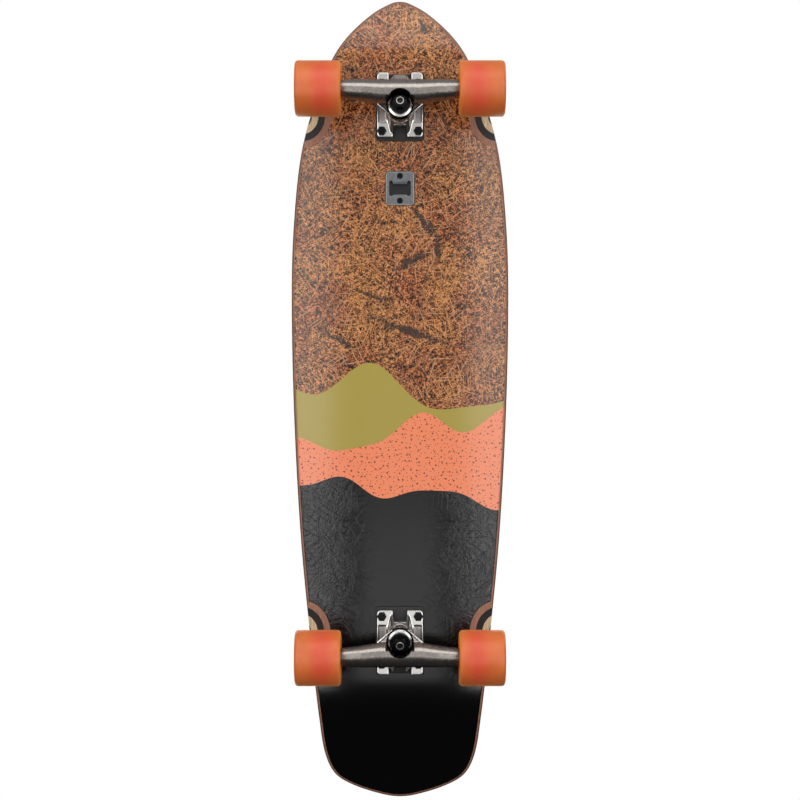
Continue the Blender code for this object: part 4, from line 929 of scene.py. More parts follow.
def fibre_grip():
    """The grip tape: the same fibre print seen through grit, and slate grit towards the tail."""
    material, graph, shader = new_material("fibre_grip")
    place = graph.place()
    shifted = graph.node("ShaderNodeMapping", {"Vector": place, "Location": (0.37, 0.52, 0.0)}).outputs[0]
    fibre = graph.use(FIBRE_MAT, Vector=shifted)
    olive, black, slate = band_masks(graph, place, BANDS_ABOVE)
    dots = graph.use(STREWN_DOTS, Vector=place, Spacing=8.4, Radius=0.8)
    olive_ink = graph.mix(graph.calc("MULTIPLY", dots["Mask"], 0.8), srgb(176, 166, 100), srgb(58, 54, 34))
    colour = streaked(graph, place, STREAKS_ABOVE, fibre["Color"], srgb(58, 48, 44))
    colour = graph.mix(olive, colour, olive_ink)
    colour = graph.mix(black, colour, srgb(40, 40, 42))
    grit = graph.noise(place, 1500.0, 2.0, 0.7, "3D").outputs["Fac"]
    slate_ink = graph.mix(graph.ramp(grit, 0.38, 0.64), srgb(34, 36, 41), srgb(84, 88, 95))
    colour = graph.mix(slate, colour, slate_ink)
    shade = graph.mix(graph.ramp(grit, 0.32, 0.62), srgb(176, 176, 178), srgb(255, 255, 255))
    graph.feed(shader.inputs["Base Color"], graph.mix(1.0, colour, shade, "MULTIPLY"))
    graph.feed(shader.inputs["Roughness"], graph.calc("ADD", 0.55, graph.calc("MULTIPLY", grit, 0.4)))
    bumped(graph, shader, grit, 0.0005)
    return material


def plain_finish(name, colour, gloss, metallic, grain, unevenness, bump):
    """One colour with uneven gloss, slight shading and a fine grain."""
    material, graph, shader = new_material(name)
    place = graph.place()
    surface = graph.use(SURFACE, Vector=place, Grain_Size=grain, Gloss=gloss, Unevenness=unevenness)
    darker = tuple(channel * (1 - SHADING) for channel in colour[:3])
    lighter = tuple(min(1.0, channel * (1 + SHADING)) for channel in colour[:3])
    mottle = graph.noise(place, 260.0, 3.0, 0.6, "3D").outputs["Fac"]
    graph.feed(
        shader.inputs["Base Color"], graph.mix(graph.ramp(mottle, 0.3, 0.7), (*darker, 1), (*lighter, 1))
    )
    graph.feed(shader.inputs["Roughness"], surface["Roughness"])
    shader.inputs["Metallic"].default_value = metallic
    bumped(graph, shader, surface["Height"], bump)
    return material


def bare_edged_finish(name, colour, gloss, metallic, bare_colour, bare_gloss, grain, bump):
    """A coated metal, bare where its attribute bare is 1, and near black where it is below 0, as painted
    shade.
    """
    material, graph, shader = new_material(name)
    place = graph.place()
    surface = graph.use(SURFACE, Vector=place, Grain_Size=grain, Gloss=gloss, Unevenness=0.10)
    bare = graph.node("ShaderNodeAttribute", attribute_name="bare").outputs["Fac"]
    mottle = graph.noise(place, 220.0, 3.0, 0.6, "3D").outputs["Fac"]
    coat = graph.mix(graph.ramp(mottle, 0.3, 0.7), tuple(0.85 * c for c in colour[:3]) + (1,), colour)
    # Painted shade: near black where bare is below 0
    coat = graph.mix(graph.ramp(bare, 0.0, -0.9), coat, srgb(10, 10, 10))
    bare = graph.calc("MAXIMUM", bare, 0.0)
    graph.feed(shader.inputs["Base Color"], graph.mix(bare, coat, bare_colour))
    rough = graph.node("ShaderNodeMix", {0: bare, 2: surface["Roughness"], 3: bare_gloss}).outputs[0]
    graph.feed(shader.inputs["Roughness"], rough)
    shine = graph.node("ShaderNodeMix", {0: bare, 2: metallic, 3: 1.0}).outputs[0]
    graph.feed(shader.inputs["Metallic"], shine)
    smooth = graph.calc("MULTIPLY", surface["Height"], graph.calc("SUBTRACT", 1.0, bare))
    bumped(graph, shader, smooth, bump)
    return material


def opener_finish():
    """The opener's casting: dark grey, with a painted highlight along its edge, and painted shade on its
    outer sides, in its recess and in a band on the tooth.
    """
    material, graph, shader = new_material("opener_steel")
    place = graph.place()
    x, y, z = graph.parts(place)
    surface = graph.use(SURFACE, Vector=place, Grain_Size=0.0004, Gloss=0.44, Unevenness=0.12)
    past_side = graph.calc("SUBTRACT", graph.calc("ABSOLUTE", x), OPENER_WIDTH / 2)
    past_end = graph.calc("ABSOLUTE", graph.calc("SUBTRACT", y, OPENER_Y))
    past_end = graph.calc("SUBTRACT", past_end, OPENER_LENGTH / 2)
    inside = graph.calc("MULTIPLY", graph.calc("MAXIMUM", past_side, past_end), -1.0)
    # Painted shade: near black on the plate's outer sides and down in its recess
    deep = graph.ramp(z, DECK_UNDERSIDE + SMALL_EDGE, DECK_UNDERSIDE + TOOTH_THICKNESS)
    black = graph.calc("MAXIMUM", graph.ramp(inside, 0.0001, 0.0), deep)
    # Painted highlight: a lighter band along the plate's edge
    bevel = graph.ramp(inside, OPENER_HIGHLIGHT_BAND * 2, OPENER_HIGHLIGHT_BAND)
    # Painted shade: a darker band on the tooth's bevelled face
    half_tooth = RECESS_LENGTH / 2 - RECESS_LOBE
    tooth = graph.ramp(graph.calc("ABSOLUTE", x), half_tooth, half_tooth - SMALL_EDGE)
    tooth_middle = OPENER_Y + RECESS_WIDTH / 2 - TOOTH_REACH + TOOTH_SHADE_BAND
    off_tooth = graph.calc("ABSOLUTE", graph.calc("SUBTRACT", y, tooth_middle))
    tooth = graph.calc("MULTIPLY", tooth, graph.ramp(off_tooth, TOOTH_SHADE_BAND, TOOTH_SHADE_BAND - SMALL_EDGE))
    mottle = graph.noise(place, 300.0, 3.0, 0.6, "3D").outputs["Fac"]
    grey = graph.mix(graph.ramp(mottle, 0.3, 0.7), srgb(96, 99, 99), srgb(114, 117, 117))
    grey = graph.mix(bevel, grey, srgb(150, 153, 153))
    grey = graph.mix(tooth, grey, srgb(74, 78, 79))
    graph.feed(shader.inputs["Base Color"], graph.mix(black, grey, srgb(20, 19, 18)))
    graph.feed(shader.inputs["Roughness"], surface["Roughness"])
    shader.inputs["Metallic"].default_value = 0.35
    bumped(graph, shader, surface["Height"], 0.00003)
    return material


def orange_urethane():
    """The tyre: clear orange urethane, redder where the core lies behind it."""
    material, graph, shader = new_material("orange_urethane")
    place = graph.place()
    x, _, _ = graph.parts(graph.vector("MULTIPLY", place, (MM, MM, MM)))
    cloud = graph.noise(place, 60.0, 2.0, 0.5, "3D").outputs["Fac"]
    across = graph.calc("ABSOLUTE", graph.calc("SUBTRACT", graph.calc("ABSOLUTE", x), RED_MIDDLE * MM))
    across = graph.calc("ADD", across, graph.calc("MULTIPLY", graph.calc("SUBTRACT", cloud, 0.5), 8.0))
    red = graph.ramp(across, 22.0, 0.0)
    face = WHEEL_INNER_FACE_X * MM
    lip = graph.ramp(graph.calc("ABSOLUTE", x), face + WHEEL_LIP * MM, face)
    body = graph.mix(graph.ramp(cloud, 0.3, 0.7), srgb(212, 106, 48), srgb(222, 114, 56))
    body = graph.mix(graph.calc("MULTIPLY", red, 0.8), body, srgb(222, 74, 52))
    body = graph.mix(graph.calc("MULTIPLY", lip, 0.9), body, srgb(244, 132, 48))
    graph.feed(shader.inputs["Base Color"], body)
    shader.inputs["Sheen Weight"].default_value = 0.7
    shader.inputs["Sheen Roughness"].default_value = 0.5
    shader.inputs["Sheen Tint"].default_value = (1.0, 0.42, 0.12, 1)
    surface = graph.use(SURFACE, Vector=place, Grain_Size=0.0005, Gloss=0.42, Unevenness=0.12)
    graph.feed(shader.inputs["Roughness"], surface["Roughness"])
    shader.inputs["Subsurface Weight"].default_value = 0.20
    shader.inputs["Subsurface Radius"].default_value = (0.010, 0.004, 0.0015)
    shader.inputs["Subsurface Scale"].default_value = 1.0
    bumped(graph, shader, surface["Height"], 0.00003)
    return material


FIBRE_MAT = fibre_mat_group()
CHARCOAL_STREAK = streak_group()
WAVE_EDGE = wave_edge_group()
STREWN_DOTS = dots_group()
PLY_LAYERS = ply_group()
SURFACE = surface_group()
FINISHES = {
    "printed_fibre": printed_fibre(),
    "fibre_grip": fibre_grip(),
    "opener_steel": opener_finish(),
    "polished_casting": bare_edged_finish(
        "polished_casting", srgb(176, 172, 168), 0.34, 0.95, srgb(214, 212, 208), 0.20, 0.0008, 0.00006
    ),
    "gunmetal": bare_edged_finish(
        "gunmetal", srgb(160, 152, 146), 0.27, 0.95, srgb(232, 230, 227), 0.24, 0.0007, 0.00001
    ),
    "blackened_pin": bare_edged_finish(
        "blackened_pin", srgb(30, 30, 31), 0.34, 0.6, srgb(214, 212, 208), 0.30, 0.0005, 0.00002
    ),
    "black_steel": plain_finish("black_steel", srgb(20, 20, 21), 0.24, 0.7, 0.0004, 0.14, 0.00002),
    "bright_steel": plain_finish("bright_steel", srgb(208, 207, 204), 0.24, 1.0, 0.0004, 0.12, 0.00001),
    "riser_rubber": plain_finish("riser_rubber", srgb(26, 26, 27), 0.62, 0.0, 0.0006, 0.14, 0.00005),
    "bushing_urethane": plain_finish("bushing_urethane", srgb(22, 22, 22), 0.40, 0.0, 0.0005, 0.10, 0.00003),
    "orange_urethane": orange_urethane(),
    "core_plastic": plain_finish("core_plastic", srgb(196, 52, 36), 0.40, 0.0, 0.0005, 0.10, 0.00003),
    "shield": plain_finish("shield", srgb(20, 20, 22), 0.38, 0.2, 0.0004, 0.10, 0.00002),
}


# Shapes. Each one is a helper object in the workshop until it is placed.

WORKSHOP = bpy.data.collections.new("workshop")
bpy.context.scene.collection.children.link(WORKSHOP)


def helper(data):
    obj = bpy.data.objects.new("helper", data)
    WORKSHOP.objects.link(obj)
    return obj


def helper_from(bm):
    bmesh.ops.recalc_face_normals(bm, faces=bm.faces)
    mesh = bpy.data.meshes.new("helper")
    bm.to_mesh(mesh)
    bm.free()
    return helper(mesh)


def bake(obj):
    """Makes the object's modifiers, or its curve, part of a plain mesh."""
    bpy.context.view_layer.update()
    graph = bpy.context.evaluated_depsgraph_get()
    mesh = bpy.data.meshes.new_from_object(obj.evaluated_get(graph))
    baked = helper(mesh)
    bpy.data.objects.remove(obj)
    return baked


def edit(obj, *steps):
    """Runs each step on the object's mesh as a bmesh."""
    bm = bmesh.new()
    bm.from_mesh(obj.data)
    for step in steps:
        step(bm)
    bm.to_mesh(obj.data)
    bm.free()
    return obj


def weld(bm):
    bmesh.ops.remove_doubles(bm, verts=bm.verts, dist=WELD_DISTANCE)
    bmesh.ops.recalc_face_normals(bm, faces=bm.faces)


def moved(obj, matrix):
    obj.data.transform(matrix)
    return obj


def copy_of(obj, matrix):
    return moved(helper(obj.data.copy()), matrix)


def turned(profile, steps):
    """A closed profile of (radius, height) points turned about Z."""
    bm = bmesh.new()
    corners = [bm.verts.new((radius, 0, height)) for radius, height in profile]
    for here, there in zip(corners, corners[1:] + corners[:1]):
        if here.co.x > 0 or there.co.x > 0:
            bm.edges.new((here, there))
    mesh = bpy.data.meshes.new("profile")
    bm.to_mesh(mesh)
    bm.free()
    obj = helper(mesh)
    screw = obj.modifiers.new("turn", "SCREW")
    screw.steps = steps
    screw.render_steps = steps
    screw.use_merge_vertices = True
    screw.merge_threshold = POLE_DISTANCE
    return edit(bake(obj), weld)


def cylinder(radius, low, high, steps):
    return turned(((radius, high), (radius, low), (0, low), (0, high)), steps)


def slab(outline, low, high):
    """A flat outline of (x, y) points, filled and raised from low to high."""
    curve = bpy.data.curves.new("outline", "CURVE")
    curve.dimensions = "2D"
    curve.fill_mode = "BOTH"
    curve.extrude = (high - low) / 2
    spline = curve.splines.new("POLY")
    spline.points.add(len(outline) - 1)
    for point, (x, y) in zip(spline.points, outline):
        point.co = (x, y, 0, 1)
    spline.use_cyclic_u = True
    obj = edit(bake(helper(curve)), weld, join_flat_faces)
    return moved(obj, Matrix.Translation((0, 0, (high + low) / 2)))


def join_flat_faces(bm):
    flat = [edge for edge in bm.edges if edge.is_manifold and edge.calc_face_angle() < FLAT_ANGLE]
    bmesh.ops.dissolve_edges(bm, edges=flat, use_verts=False)


def hull(points):
    bm = bmesh.new()
    for point in points:
        bm.verts.new(point)
    made = bmesh.ops.convex_hull(bm, input=bm.verts)
    inside = [item for item in made["geom_interior"] if isinstance(item, bmesh.types.BMVert)]
    bmesh.ops.delete(bm, geom=inside, context="VERTS")
    return helper_from(bm)


def prism(flats, low, high):
    """A hexagon of the given width across flats."""
    corner = flats / 2 / math.cos(math.pi / 6)
    return cylinder(corner, low, high, 6)


def bevelled(obj, width, segments, angle=EDGE_ANGLE):
    bevel = obj.modifiers.new("edges", "BEVEL")
    bevel.width = width
    bevel.segments = segments
    bevel.limit_method = "ANGLE"
    bevel.angle_limit = angle
    bevel.use_clamp_overlap = False
    return bake(obj)


def combined(base, operation, tools):
    for tool in tools:
        modifier = base.modifiers.new(operation.lower(), "BOOLEAN")
        modifier.operation = operation
        modifier.object = tool
    result = bake(base)
    for tool in tools:
        bpy.data.objects.remove(tool)
    return result


def cut(base, *tools):
    return combined(base, "DIFFERENCE", tools)


def join(base, *tools):
    return combined(base, "UNION", tools)


def circle(radius, height, steps):
    turns = [2 * math.pi * step / steps for step in range(steps)]
    return [Vector((radius * math.cos(turn), radius * math.sin(turn), height)) for turn in turns]


def rounded_rectangle(low, high, radius):
    """The corners of a rectangle from low to high, (x, y) each, with rounded corners."""
    outline = []
    corners = (
        (high[0] - radius, high[1] - radius, 0),
        (low[0] + radius, high[1] - radius, 1),
        (low[0] + radius, low[1] + radius, 2),
        (high[0] - radius, low[1] + radius, 3),
    )
    for x, y, quarter in corners:
        for step in range(CORNER_STEPS + 1):
            turn = (quarter + step / CORNER_STEPS) * math.pi / 2
            outline.append((x + radius * math.cos(turn), y + radius * math.sin(turn)))
    return outline


def arc(centre, radius, start, end, steps):
    """(radius, height) points on an arc of a turned profile, from start to end in degrees."""
    points = []
    for step in range(steps + 1):
        turn = math.radians(start + (end - start) * step / steps)
        points.append((centre[0] + radius * math.cos(turn), centre[1] + radius * math.sin(turn)))
    return points


def skin(rings):
    """A closed body through rings of as many points each, from the lowest to the highest."""
    bm = bmesh.new()
    loops = [[bm.verts.new(point) for point in ring] for ring in rings]
    for lower, upper in zip(loops, loops[1:]):
        for index in range(len(lower)):
            bm.faces.new((lower[index - 1], lower[index], upper[index], upper[index - 1]))
    bm.faces.new(loops[0])
    bm.faces.new(loops[-1])
    return helper_from(bm)


def threaded_rod(radius, low, high):
    """A rod with a helical thread and chamfered ends."""
    rows = round((high - low) / THREAD_PITCH * THREAD_ROWS)
    rings = []
    for row in range(rows + 1):
        height = low + (high - low) * row / rows
        chamfer = max(0.0, THREAD_DEPTH * 2 - min(height - low, high - height))
        ring = []
        for step in range(THREAD_STEPS):
            share = step / THREAD_STEPS
            tooth = abs(((height - low) / THREAD_PITCH - share) % 1 * 2 - 1)
            reach = radius - max(THREAD_DEPTH * tooth, chamfer)
            turn = 2 * math.pi * share
            ring.append((reach * math.cos(turn), reach * math.sin(turn), height))
        rings.append(ring)
    return skin(rings)


def turned_hexagon(flats, low, high, both_ends=False):
    """A hexagon whose corners are turned off at the upper end, or at both."""
    corner = flats / 2 / math.cos(math.pi / 6)
    chamfer = (corner - flats / 2) * HEXAGON_CHAMFER
    reach = corner + chamfer
    profile = [(flats / 2, high), (reach, high - 2 * chamfer)]
    profile += [(reach, low + 2 * chamfer), (flats / 2, low)] if both_ends else [(reach, low)]
    profile += [(0, low), (0, high)]
    return combined(prism(flats, low, high), "INTERSECT", [turned(profile, BUSHING_STEPS)])


def remeshed(obj, voxel, softening):
    """One even skin over joined shapes, with its inner corners filled as in a casting."""
    remesh = obj.modifiers.new("casting", "REMESH")
    remesh.mode = "VOXEL"
    remesh.voxel_size = voxel
    smooth = obj.modifiers.new("fillets", "SMOOTH")
    smooth.factor = SOFTENING_SHARE
    smooth.iterations = softening
    return bake(obj)


def smoothed(obj):
    obj.data.shade_smooth()
    obj.data.set_sharp_from_angle(angle=SMOOTH_ANGLE)
    return obj


# Placing

def place(name, shape, finish, body, nodes, matrix=None, slot=None, bend=None):
    """A copy of the shape as a finished piece that stands for the nodes and moves with the body.

    bend, for a soft piece, holds the body that its other end would move with, and the heights of its two
    ends. Such a piece is attached to no body and is not bent; what bend holds is not used.
    """
    piece = bpy.data.objects.new(name, shape.data.copy())
    bpy.context.scene.collection.objects.link(piece)
    if matrix:
        piece.data.transform(matrix)
    piece.data.materials.clear()
    piece.data.materials.append(FINISHES[finish])
    smoothed(piece)
    if bend:
        other_body, *heights = bend
        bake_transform(piece)
    else:
        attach(piece, body)
    slot or finish
    if nodes:
        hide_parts(*nodes)


def marked(shape, bare):
    """Keeps on the shape, as the attribute bare, how far each point is bare metal, and below 0 how deep its
    painted shade is. bare takes a point.
    """
    attribute = shape.data.attributes.new("bare", "FLOAT", "POINT")
    attribute.data.foreach_set("value", [bare(vert.co) for vert in shape.data.vertices])
    return shape


# The deck and its grip

def spline_through(points):
    """SIDE_STEPS points on each span of a smooth curve through the given points."""
    ends = [Vector((-points[1].x, points[1].y)), *points, Vector((-points[-2].x, points[-2].y))]
    curve = []
    for before, here, there, after in zip(ends, ends[1:], ends[2:], ends[3:]):
        step = (there - here).length
        lead_in = (there - before) / ((here - before).length + step) * step
        lead_out = (after - here) / (step + (after - there).length) * step
        for index in range(SIDE_STEPS):
            t = index / SIDE_STEPS
            curve.append(
                here * (2 * t**3 - 3 * t**2 + 1)
                + lead_in * (t**3 - 2 * t**2 + t)
                + there * (3 * t**2 - 2 * t**3)
                + lead_out * (t**3 - t**2)
            )
    return curve + [points[-1]]


def deck_side():
    """The right-hand side of the deck from the nose tip to the tail tip."""
    places = [(share, HALF_LENGTH - back * NOSE_LENGTH) for share, back in NOSE_CURVE]
    places += [(share, HALF_LENGTH - back * DECK_LENGTH) for share, back in WAIST_CURVE]
    places += [(share, forward * TAIL_LENGTH - HALF_LENGTH) for share, forward in TAIL_CURVE]
    return spline_through([Vector((share * HALF_WIDTH, y)) for share, y in places])


def deck_outline(inset):
    right = deck_side()
    left = [Vector((-point.x, point.y)) for point in reversed(right[1:-1])]
    ring = right + left
    outline = []
    for before, here, after in zip(ring[-1:] + ring[:-1], ring, ring[1:] + ring[:1]):
        along = (after - before).normalized()
        outline.append(here - inset * Vector((-along.y, along.x)))
    return [(point.x, point.y) for point in outline]


def half_width_at(y):
    side = deck_side()
    for here, there in zip(side, side[1:]):
        if there.y <= y <= here.y:
            return here.x + (there.x - here.x) * (here.y - y) / (here.y - there.y)
    return 0


def kick(past, bend, angle):
    """How far the deck has risen at a distance past the start of a bend."""
    rise = math.tan(angle)
    if past <= 0:
        return 0
    if past < bend:
        return rise * past * past / (2 * bend)
    return rise * (past - bend / 2)


def lift(x, y):
    """How far the pressed deck stands above its flat middle."""
    from_flat = max(0, abs(x) - FLAT_WIDTH / 2) / (HALF_WIDTH - FLAT_WIDTH / 2)
    nose = kick(y - NOSE_BEND_Y, NOSE_BEND, NOSE_ANGLE)
    tail = kick(TAIL_BEND_Y - y, TAIL_BEND, TAIL_ANGLE)
    return CONCAVE_RISE * from_flat**2 + nose + tail


def ring_at(inset, height):
    return [(x, y, height) for x, y in deck_outline(inset)]


def sliced(bm):
    """Cuts a flat sheet on an even grid, so that it presses to a smooth curve."""
    for axis, half in ((0, HALF_WIDTH), (1, HALF_LENGTH)):
        count = int(2 * half / SHEET_STEP)
        normal = [0, 0, 0]
        normal[axis] = 1
        for step in range(1, count):
            spot = [0, 0, 0]
            spot[axis] = -half + 2 * half * step / count
            everything = bm.verts[:] + bm.edges[:] + bm.faces[:]
            bmesh.ops.bisect_plane(bm, geom=everything, dist=WELD_DISTANCE, plane_co=spot, plane_no=normal)
    many_sided = [face for face in bm.faces if len(face.verts) > 4]
    bmesh.ops.triangulate(bm, faces=many_sided)


def well_cutter(side, truck_y, outward):
    """A cone on the deck's underside, tilted with it, whose tip stands past the deck's edge."""
    y = truck_y + outward * (AXLE_OUT - WELL_INWARD)
    edge = half_width_at(y)
    middle = edge + WELL_PAST_EDGE
    inner = middle - WELL_RADIUS
    rise = (lift(edge, y) - lift(inner, y)) / (edge - inner)
    profile = (
        (0, WELL_RADIUS * math.tan(WELL_SLOPE)),
        (WELL_RADIUS, 0),
        (WELL_RADIUS, -DECK_THICKNESS),
        (0, -DECK_THICKNESS),
    )
    cone = moved(turned(profile, WELL_STEPS), Matrix.Rotation(-side * math.atan(rise), 4, "Y"))
    height = DECK_UNDERSIDE + lift(inner, y) + rise * WELL_RADIUS
    return moved(cone, Matrix.Translation((side * middle, y, height)))


def bolt_places():
    """Where the eight bolts stand, as (name, x, y)."""
    for end, truck_y, outward in (("front", FRONT_TRUCK_Y, 1), ("rear", REAR_TRUCK_Y, -1)):
        for row, along in (("outer", 1), ("inner", -1)):
            for side, across in (("left", -1), ("right", 1)):
                y = truck_y + outward * along * BOLT_SPACING_LONG / 2
                yield f"{end}_bolt_{row}_{side}", across * BOLT_SPACING_WIDE / 2, y


def bolt_profile(grown=0.0):
    """A countersunk bolt, head up at GRIP_TOP, grown all round by a clearance."""
    head = BOLT_HEAD_RADIUS + grown
    shank = BOLT_RADIUS + grown
    rim = GRIP_TOP - BOLT_HEAD_RIM - grown
    neck = GRIP_TOP - BOLT_HEAD_DEPTH - grown
    end = GRIP_TOP - BOLT_LENGTH - grown
    top = GRIP_TOP + grown
    return (head, top), (head, rim), (shank, neck), (shank, end), (0, end), (0, top)


def bolt_clearances():
    hole = turned(bolt_profile(GAP), BOLT_STEPS)
    holes = [copy_of(hole, Matrix.Translation((x, y, 0))) for _, x, y in bolt_places()]
    bpy.data.objects.remove(hole)
    return holes


def opener_pocket():
    low = (-OPENER_WIDTH / 2 - GAP, OPENER_Y - OPENER_LENGTH / 2 - GAP)
    high = (OPENER_WIDTH / 2 + GAP, OPENER_Y + OPENER_LENGTH / 2 + GAP)
    outline = rounded_rectangle(low, high, OPENER_CORNER + GAP)
    return slab(outline, DECK_UNDERSIDE - DECK_EDGE_RADIUS, DECK_UNDERSIDE + OPENER_THICKNESS + GAP)


def opener_screw_places():
    for name, side in (("front", 1), ("rear", -1)):
        yield f"opener_screw_{name}", OPENER_Y + side * OPENER_SCREW_SPACING / 2


def opener_screw_profile(grown=0.0):
    """A countersunk screw, head down at the deck's underside."""
    head = OPENER_SCREW_HEAD + grown
    shank = OPENER_SCREW_RADIUS + grown
    face = DECK_UNDERSIDE - grown
    neck = DECK_UNDERSIDE + OPENER_SCREW_HEAD_DEPTH + grown
    end = DECK_UNDERSIDE + OPENER_SCREW_LENGTH + grown
    return (0, end), (shank, end), (shank, neck), (head, face), (0, face)


def opener_screw_clearances():
    hole = turned(opener_screw_profile(GAP), BOLT_STEPS)
    holes = [copy_of(hole, Matrix.Translation((0, y, 0))) for _, y in opener_screw_places()]
    bpy.data.objects.remove(hole)
    return holes


def make_deck():
    rings = []
    for step in range(ROUND_STEPS + 1):
        turn = math.pi / 2 * step / ROUND_STEPS
        away = DECK_LOWER_ROUND * (1 - math.sin(turn))
        rings.append(ring_at(away, DECK_UNDERSIDE + DECK_LOWER_ROUND * (1 - math.cos(turn))))
    for step in range(ROUND_STEPS + 1):
        turn = math.pi / 2 * step / ROUND_STEPS
        away = DECK_UPPER_ROUND * (1 - math.cos(turn))
        rings.append(ring_at(away, DECK_TOP - DECK_UPPER_ROUND * (1 - math.sin(turn))))
    deck = shaped_by(edit(skin(rings), sliced), PRESS, FINISHES["printed_fibre"])
    wells = [
        well_cutter(side, truck_y, outward)
        for truck_y, outward in ((FRONT_TRUCK_Y, 1), (REAR_TRUCK_Y, -1))
        for side in (-1, 1)
    ]
    deck = cut(deck, *wells)
    deck = cut(deck, *bolt_clearances(), opener_pocket(), *opener_screw_clearances())
    place("pressed_deck", deck, "printed_fibre", "board", ["deck"], slot="fibre_veneer")


def make_grip():
    rings = [
        ring_at(GRIP_INSET, DECK_TOP + GAP),
        ring_at(GRIP_INSET, GRIP_TOP - GRIP_EDGE),
        ring_at(GRIP_INSET + GRIP_EDGE, GRIP_TOP),
    ]
    grip = shaped_by(edit(skin(rings), sliced), PRESS, FINISHES["fibre_grip"])
    grip = cut(grip, *bolt_clearances())
    place("grip_sheet", grip, "fibre_grip", "board", ["grip_tape"], slot="grip")


# Bottle opener

def recess_outline():
    """The recess with a lobe at each corner, the tooth on the nose side and the rest opposite it."""
    half = RECESS_LENGTH / 2
    tooth = RECESS_LENGTH / 2 - RECESS_LOBE
    nose_side = OPENER_Y + RECESS_WIDTH / 2
    tail_side = OPENER_Y - RECESS_WIDTH / 2
    corner = RECESS_CORNER
    right = (
        (half, nose_side - corner),
        (half - corner, nose_side),
        (tooth + corner, nose_side),
        (tooth, nose_side - TOOTH_REACH),
    )
    back = (
        (tooth, tail_side + REST_REACH),
        (tooth + corner, tail_side),
        (half - corner, tail_side),
        (half, tail_side + corner),
    )
    left = [(-x, y) for x, y in reversed(right)]
    return [*right, *left, *[(-x, y) for x, y in reversed(back)], *back]


def make_opener():
    low = (-OPENER_WIDTH / 2, OPENER_Y - OPENER_LENGTH / 2)
    high = (OPENER_WIDTH / 2, OPENER_Y + OPENER_LENGTH / 2)
    plate = slab(
        rounded_rectangle(low, high, OPENER_CORNER), DECK_UNDERSIDE, DECK_UNDERSIDE + OPENER_THICKNESS
    )
    below = DECK_UNDERSIDE - OPENER_THICKNESS
    recess = bevelled(slab(recess_outline(), below, DECK_UNDERSIDE + RECESS_DEPTH), SMALL_EDGE * 2, 3)
    undercut = slab(
        rounded_rectangle(
            (-RECESS_LENGTH / 2 + RECESS_LOBE / 2, OPENER_Y),
            (RECESS_LENGTH / 2 - RECESS_LOBE / 2, OPENER_Y + RECESS_WIDTH / 2 - TOOTH_REACH / 4),
            RECESS_LOBE / 4,
        ),
        DECK_UNDERSIDE + TOOTH_THICKNESS,
        DECK_UNDERSIDE + RECESS_DEPTH,
    )
    plate = bevelled(cut(plate, recess), SMALL_EDGE, 2, PLATE_EDGE_ANGLE)
    plate = cut(plate, undercut, *opener_screw_clearances())
    place("bottle_opener", plate, "opener_steel", "board", ["opener_plate"])
    screw = turned(opener_screw_profile(), BOLT_STEPS)
    socket_end = DECK_UNDERSIDE + OPENER_SOCKET_DEPTH
    screw = cut(screw, prism(OPENER_SOCKET_FLATS, DECK_UNDERSIDE - CUT_PAST, socket_end))
    for name, y in opener_screw_places():
        place(f"{name}_hex", screw, "black_steel", "board", [name], Matrix.Translation((0, y, 0)))


# Mounting bolts

def make_bolts():
    nut_face = DECK_UNDERSIDE + PLATE_FACE - GAP
    nut_end = nut_face - LOCK_NUT_HEIGHT
    shaft_end = GRIP_TOP - BOLT_LENGTH
    socket = prism(SOCKET_FLATS, GRIP_TOP - SOCKET_DEPTH, GRIP_TOP + CUT_PAST)
    bolt = cut(turned(bolt_profile(), BOLT_STEPS), socket)
    nut = moved(turned_hexagon(LOCK_NUT_FLATS, -nut_face, -nut_end), Matrix.Rotation(math.pi, 4, "X"))
    nylon_end = nut_end - NYLON_HEIGHT / 2
    nylon = [
        (BOLT_RADIUS, nut_end + NYLON_HEIGHT),
        (NYLON_RADIUS, nut_end + NYLON_HEIGHT),
        *arc((NYLON_RADIUS - SMALL_EDGE, nylon_end + SMALL_EDGE), SMALL_EDGE, 0, -90, EDGE_STEPS),
        (BOLT_RADIUS, nylon_end),
    ]
    collar = turned(nylon[::-1], BUSHING_STEPS)
    thread = threaded_rod(BOLT_RADIUS, shaft_end - BOLT_HEAD_RIM, nut_face)
    bolt = join(bolt, nut, collar, thread)
    bolts = shaped_by(bolt, SET_OUT, FINISHES["black_steel"])
    place("mounting_bolts", bolts, "black_steel", "board", [name for name, _, _ in bolt_places()])


# Truck pieces, each in the truck's frame or along its own axis

def truck_bolt_holes(radius):
    hole = cylinder(radius, PLATE_FACE - BOLT_LENGTH, PLATE_THICKNESS, BOLT_STEPS)
    places = [(x, y) for x in (-1, 1) for y in (-1, 1)]
    holes = [
        copy_of(hole, Matrix.Translation((x * BOLT_SPACING_WIDE / 2, y * BOLT_SPACING_LONG / 2, 0)))
        for x, y in places
    ]
    bpy.data.objects.remove(hole)
    return holes


def end_notch(end, depth):
    """The step between the two outer ears of the riser or the baseplate, whose outer end is given."""
    half = NOTCH_WIDTH / 2
    outline = ((half, end + depth), (-half, end + depth), (-half, end - depth), (half, end - depth))
    return slab(outline, PLATE_FACE - PLATE_THICKNESS, PLATE_THICKNESS)


def riser_shape():
    low = (-RISER_WIDTH / 2, RISER_INNER)
    high = (RISER_WIDTH / 2, RISER_OUTER)
    pad = slab(rounded_rectangle(low, high, RISER_CORNER), -GAP - RISER_THICKNESS, -GAP)
    pad = cut(pad, end_notch(RISER_OUTER, RISER_NOTCH_DEPTH))
    return cut(bevelled(pad, SMALL_EDGE, 2, PLATE_EDGE_ANGLE), *truck_bolt_holes(BOLT_RADIUS + GAP))


